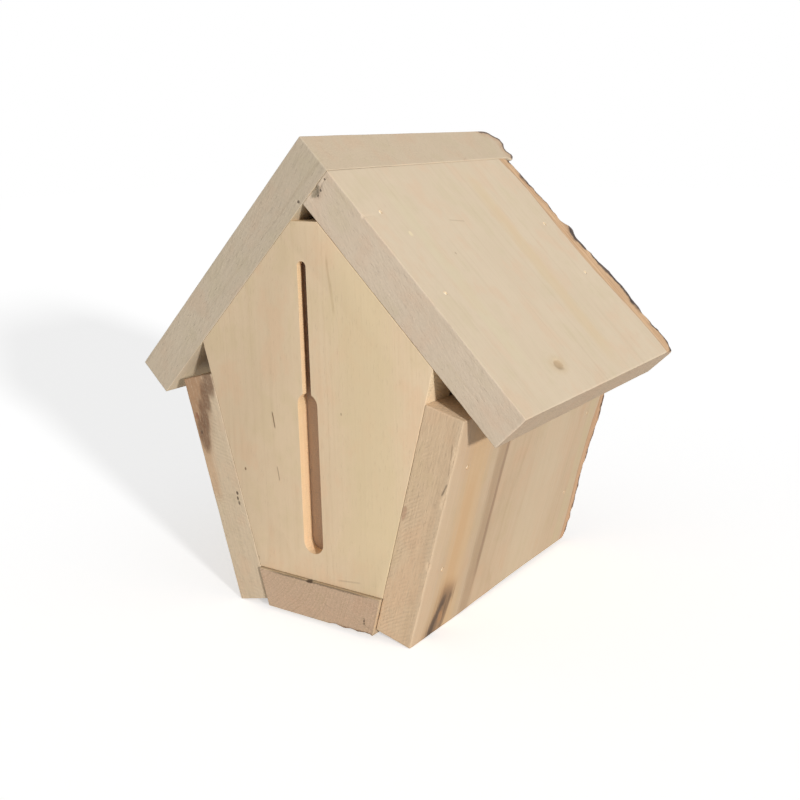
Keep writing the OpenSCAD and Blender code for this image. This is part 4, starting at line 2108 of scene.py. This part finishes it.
@dataclass
class Panels:
    """The back panel with its keyhole slot, and the front one with the entrance.

    Attributes:
        plan: the house's measures.
        nails: places of the nails.
        entrance_width: width of the round entrance.
        entrance_height: height of its middle.
        entrance_mouth: how far its rim is eased.
        entrance_points: number of points round it.
        slot_across: how far the keyhole lies from the panel's middle.
        throat_width: width of its wide part, and of the space for the screw's head.
        throat_low: height of the wide part's lower round end.
        throat_high: height of its upper one, where the narrow part begins.
        neck_width: width of the narrow part.
        neck_high: height of its upper round end.
        lips: thickness of the two lips beside the narrow part.
        slot_depth: depth of the whole keyhole.
    """

    plan: HousePlan
    nails: NailPlan
    entrance_width: float = 32.0
    entrance_height: float = 145.0
    entrance_mouth: float = 0.5
    entrance_points: int = 96
    slot_across: float = 2.5
    throat_width: float = 12.7
    throat_low: float = 46.34
    throat_high: float = 121.64
    neck_width: float = 5.3
    neck_high: float = 192.14
    lips: float = 3.3
    slot_depth: float = 7.5

    def build(self) -> list[Piece]:
        """Makes both panels.

        Returns:
            The new pieces.
        """
        plan, outline = self.plan, self._outline()
        entrance = RoundSlot(
            self.entrance_width, (self.entrance_height, 0.0), self.entrance_height, -1.0,
            plan.thickness + 1.0, self.entrance_mouth, self.entrance_points)
        back = Panel("back_panel", "panels", plan.panel_lay(0.0, 1), self._back_timber(), None,
                     self.nails.into_panel(False), outline, self._keyhole())
        front = Panel("front_panel", "panels", plan.panel_lay(plan.front_face, -1),
                      self._front_timber(), None, self.nails.into_panel(True), outline, (entrance,))
        return [back.build(), front.build()]

    def _outline(self) -> tuple[Spot, ...]:
        """Finds the panels' six corners, turning from along towards across.

        Returns:
            The corners, as along and across.
        """
        plan, gap = self.plan, self.plan.nailed_fit
        lean, pitch = math.radians(plan.wall_lean), math.radians(plan.roof_pitch)
        shoulder = (
            plan.under_apex - gap / math.cos(pitch) - plan.between_walls(0, gap) * math.tan(pitch)
        ) / (1 + math.tan(lean) * math.tan(pitch))
        foot, top = plan.floor_top + plan.slide_gap, plan.panel_top
        halves = [(foot, plan.between_walls(foot, gap)),
                  (shoulder, plan.between_walls(shoulder, gap)), (top, plan.under_roof(top, gap))]
        low = halves[0]
        return (low, *((height, -half) for height, half in halves), *halves[:0:-1])

    def _keyhole(self) -> tuple[RoundSlot, ...]:
        """The wide way in, the narrow neck, and the space behind it for the screw's head.

        Returns:
            The cuts, in the order in which they are made.
        """
        low, high = (self.throat_low, self.slot_across), (self.throat_high, self.slot_across)
        return (
            RoundSlot(self.throat_width, low, self.throat_high, -1.0, self.slot_depth),
            RoundSlot(self.neck_width, high, self.neck_high, -1.0, self.lips + 0.4),
            RoundSlot(self.throat_width, high, self.neck_high, self.lips, self.slot_depth),
        )

    def _back_timber(self) -> Timber:
        """Wood of the panel that the photograph shows.

        Returns:
            The wood.
        """
        dark = srgb(120, 90, 62)
        return Timber(
            "back_panel", srgb(232, 206, 171), srgb(230, 206, 170), srgb(214, 190, 156),
            (22, 60), 71.0,
            stains=(
                Stain((116, 26.8, 0), (106, 25.2, 0), 0.6, dark, 0.85, 0.3),
                Stain((86, 25.4, 0), (77, 24, 0), 0.5, dark, 0.55, 0.3),
                Stain((30.5, 51, 0), (29, 41, 0), 1.6, dark, 0.35, 0.4),
                Stain((200, -13, 0), (168, -17, 0), 1.1, srgb(190, 160, 122), 0.5, 1.6),
                Stain((28, -12, 0), (30, -29, 0), 0.7, dark, 0.25, 0.4),
                Stain((10, -42, 0), (220, -30, 0), 26.0, srgb(227, 205, 164), 0.6, 5.0),
            ),
            knots=(
                Knot((80.5, 48.3, 0), (1.0, 0.8, 0.6), dark, 0.8),
                Knot((120, -19, 0), (0.9, 0.6, 0.6), dark, 0.4),
            ),
            slot_depth=self.slot_depth,
        )

    def _front_timber(self) -> Timber:
        """Wood of the panel round the entrance.

        Returns:
            The wood.
        """
        dark, halo = srgb(120, 78, 52), srgb(180, 136, 92)
        return Timber(
            "front_panel", srgb(220, 196, 164), srgb(222, 198, 164), srgb(210, 186, 152),
            (-18, 48), 83.0,
            knots=(Knot((58, -22, 0), (4.0, 2.6, 4.0), dark, 0.85, halo),),
        )


@dataclass
class CleanOutFloor:
    """The floor, on the body that slides.

    Attributes:
        plan: the house's measures.
        proud: how far its back end stands out of the back plane.
    """

    plan: HousePlan
    proud: float = 1.6

    def build(self) -> list[Piece]:
        """Makes the floor.

        Returns:
            The new piece, in a list.
        """
        dark, bark = srgb(70, 54, 42), srgb(112, 80, 56)
        timber = Timber(
            "floor", srgb(206, 182, 148), srgb(200, 174, 142), srgb(205, 176, 148),
            (48, -16), 97.0,
            stains=(
                Stain((0, -38, 0.4), (0, 38, 0.2), 0.9, dark, 0.6, 0.4),
                Stain((0, -30.6, 12.6), (0, -30.6, 16.8), 0.8, dark, 0.9, 0.2),
                Stain((0, -5, 21.7), (0, -38, 21.6), 1.5, bark, 0.85, 0.5),
            ),
            knots=(Knot((0, 5.7, 0.2), (3, 2.8, 1.1), dark, 0.9),),
            ring=1.8, lines=0.15,
        )
        chips = (
            Dent((0, -12, 22), (2.5, 4.0, 1.6), 0.8, 0.6),
            Dent((0, -22, 22), (2.0, 3.5, 1.4), 0.7, 0.6),
            Dent((0, -31, 22), (2.5, 4.5, 1.8), 0.9, 0.6),
            Dent((0, 5.7, 0), (1.5, 4.0, 1.2), 0.6, 0.5),
            Dent((0, 24, 0), (1.5, 3.0, 1.2), 0.4, 0.6),
        )
        return [FloorBoard("floor_board", "floor", self.plan.floor_lay(self.proud), timber, None,
                           (), self.plan, chips).build()]


@dataclass
class Studio:
    """A white floor and background, one low soft sun, and the camera.

    Attributes:
        to_sun: way to the sun.
        sun_strength: the sun's strength.
        sun_size: the angle that the sun takes up, in degrees.
        sky: brightness of the plain sky all round.
        eye: the camera's place, in millimetres.
        turn: how far the camera looks from -Y towards +X, in degrees.
        dip: how far it looks down.
        roll: how far it leans.
        lens: its focal length on a 36 mm sensor.
        shift: how far the picture lies off the lens's axis.
        reach: half width of the floor, in metres.
    """

    to_sun: Place = (-0.874, 0.440, 0.205)
    sun_strength: float = 2.5
    sun_size: float = 5.0
    sky: float = 0.4
    eye: Place = (-331.9, 504.9, 254.3)
    turn: float = 35.547
    dip: float = 17.828
    roll: float = -1.428
    lens: float = 47.566
    shift: Spot = (0.0281, 0.0901)
    reach: float = 4.0

    def build(self) -> None:
        """Makes the floor, the light and the camera."""
        self._floor()
        self._world()
        self._sun()
        self._camera()

    def _seen(self, shade: Shader) -> Socket:
        """Tells what the camera sees, straight or by a reflection, from light that falls on things.

        Args:
            shade: the shader.

        Returns:
            1 for what is seen and 0 for the light.
        """
        path = shade.node("LightPath").outputs
        straight = shade.math("MAXIMUM", path["Is Camera Ray"], path["Is Glossy Ray"])
        return shade.math("MAXIMUM", straight, path["Is Transmission Ray"])

    def _floor(self) -> None:
        """Makes the floor that the house stands on."""
        mesh = bpy.data.meshes.new("studio_floor")
        far = self.reach
        corners = [(-far, -far, 0), (far, -far, 0), (far, far, 0), (-far, far, 0)]
        mesh.from_pydata(corners, [], [(0, 1, 2, 3)])
        shade = Shader(bpy.data.materials.new("studio_floor"))
        plain = shade.node("BsdfDiffuse", {"Color": (0.9, 0.9, 0.9, 1)})
        strength = shade.times(self._seen(shade), 0.5)
        glow = shade.node("Emission", {"Color": (1, 1, 1, 1), "Strength": strength})
        both = shade.node("AddShader", {0: plain.outputs[0], 1: glow.outputs[0]})
        shade.node("OutputMaterial", {"Surface": both.outputs[0]})
        mesh.materials.append(shade.owner)
        floor = add_object("studio_floor", mesh)

    def _world(self) -> None:
        """Makes the plain sky, which looks white."""
        world = bpy.data.worlds.new("studio")
        bpy.context.scene.world = world
        shade = Shader(world)
        strength = shade.node("MapRange", {0: self._seen(shade), 3: self.sky, 4: 1.0}).outputs[0]
        sky = shade.node("Background", {"Color": (1, 1, 1, 1), "Strength": strength})
        shade.node("OutputWorld", {"Surface": sky.outputs[0]})

    def _sun(self) -> None:
        """Makes the sun."""
        light = bpy.data.lights.new("sun", "SUN")
        light.energy = self.sun_strength
        light.angle = math.radians(self.sun_size)
        lamp = add_object("sun", light)
        lamp.rotation_mode = "QUATERNION"
        lamp.rotation_quaternion = Vector(self.to_sun).to_track_quat("Z", "Y")
        lamp.location = Vector(self.to_sun) * 2

    def _camera(self) -> None:
        """Makes the camera."""
        lens = bpy.data.cameras.new("camera")
        lens.sensor_width = 36.0
        lens.lens = self.lens
        lens.shift_x, lens.shift_y = self.shift
        lens.clip_start = 0.01
        turn, dip, roll = (math.radians(x) for x in (self.turn, self.dip, self.roll))
        level = Vector((-math.cos(turn), -math.sin(turn), 0))
        ahead = Vector((math.sin(turn), -math.cos(turn), 0)) * math.cos(dip)
        ahead.z = -math.sin(dip)
        above = level.cross(ahead)
        right = level * math.cos(roll) + above * math.sin(roll)
        up = above * math.cos(roll) - level * math.sin(roll)
        camera = add_object("camera", lens)
        facing = Matrix((right, up, -ahead)).transposed().to_4x4()
        camera.matrix_world = Matrix.Translation(Vector(self.eye) * MM) @ facing
        bpy.context.scene.camera = camera


def main() -> None:
    """Builds the house, piece by piece, and its studio."""
    logging.basicConfig(level=logging.INFO, format="%(name)s: %(message)s")
    bpy.context.scene.view_settings.view_transform = "Standard"
    plan = HousePlan()
    nails = NailPlan(plan)
    walls, roof, floor = Walls(plan, nails), Roof(plan, nails), CleanOutFloor(plan)
    parts = (Panels(plan, nails), walls, roof, floor, Nails())
    for part in parts:
        for piece in part.build():
            log.info("%s: %s", type(part).__name__, piece.name)
    Studio().build()


if __name__ == "__main__":
    main()
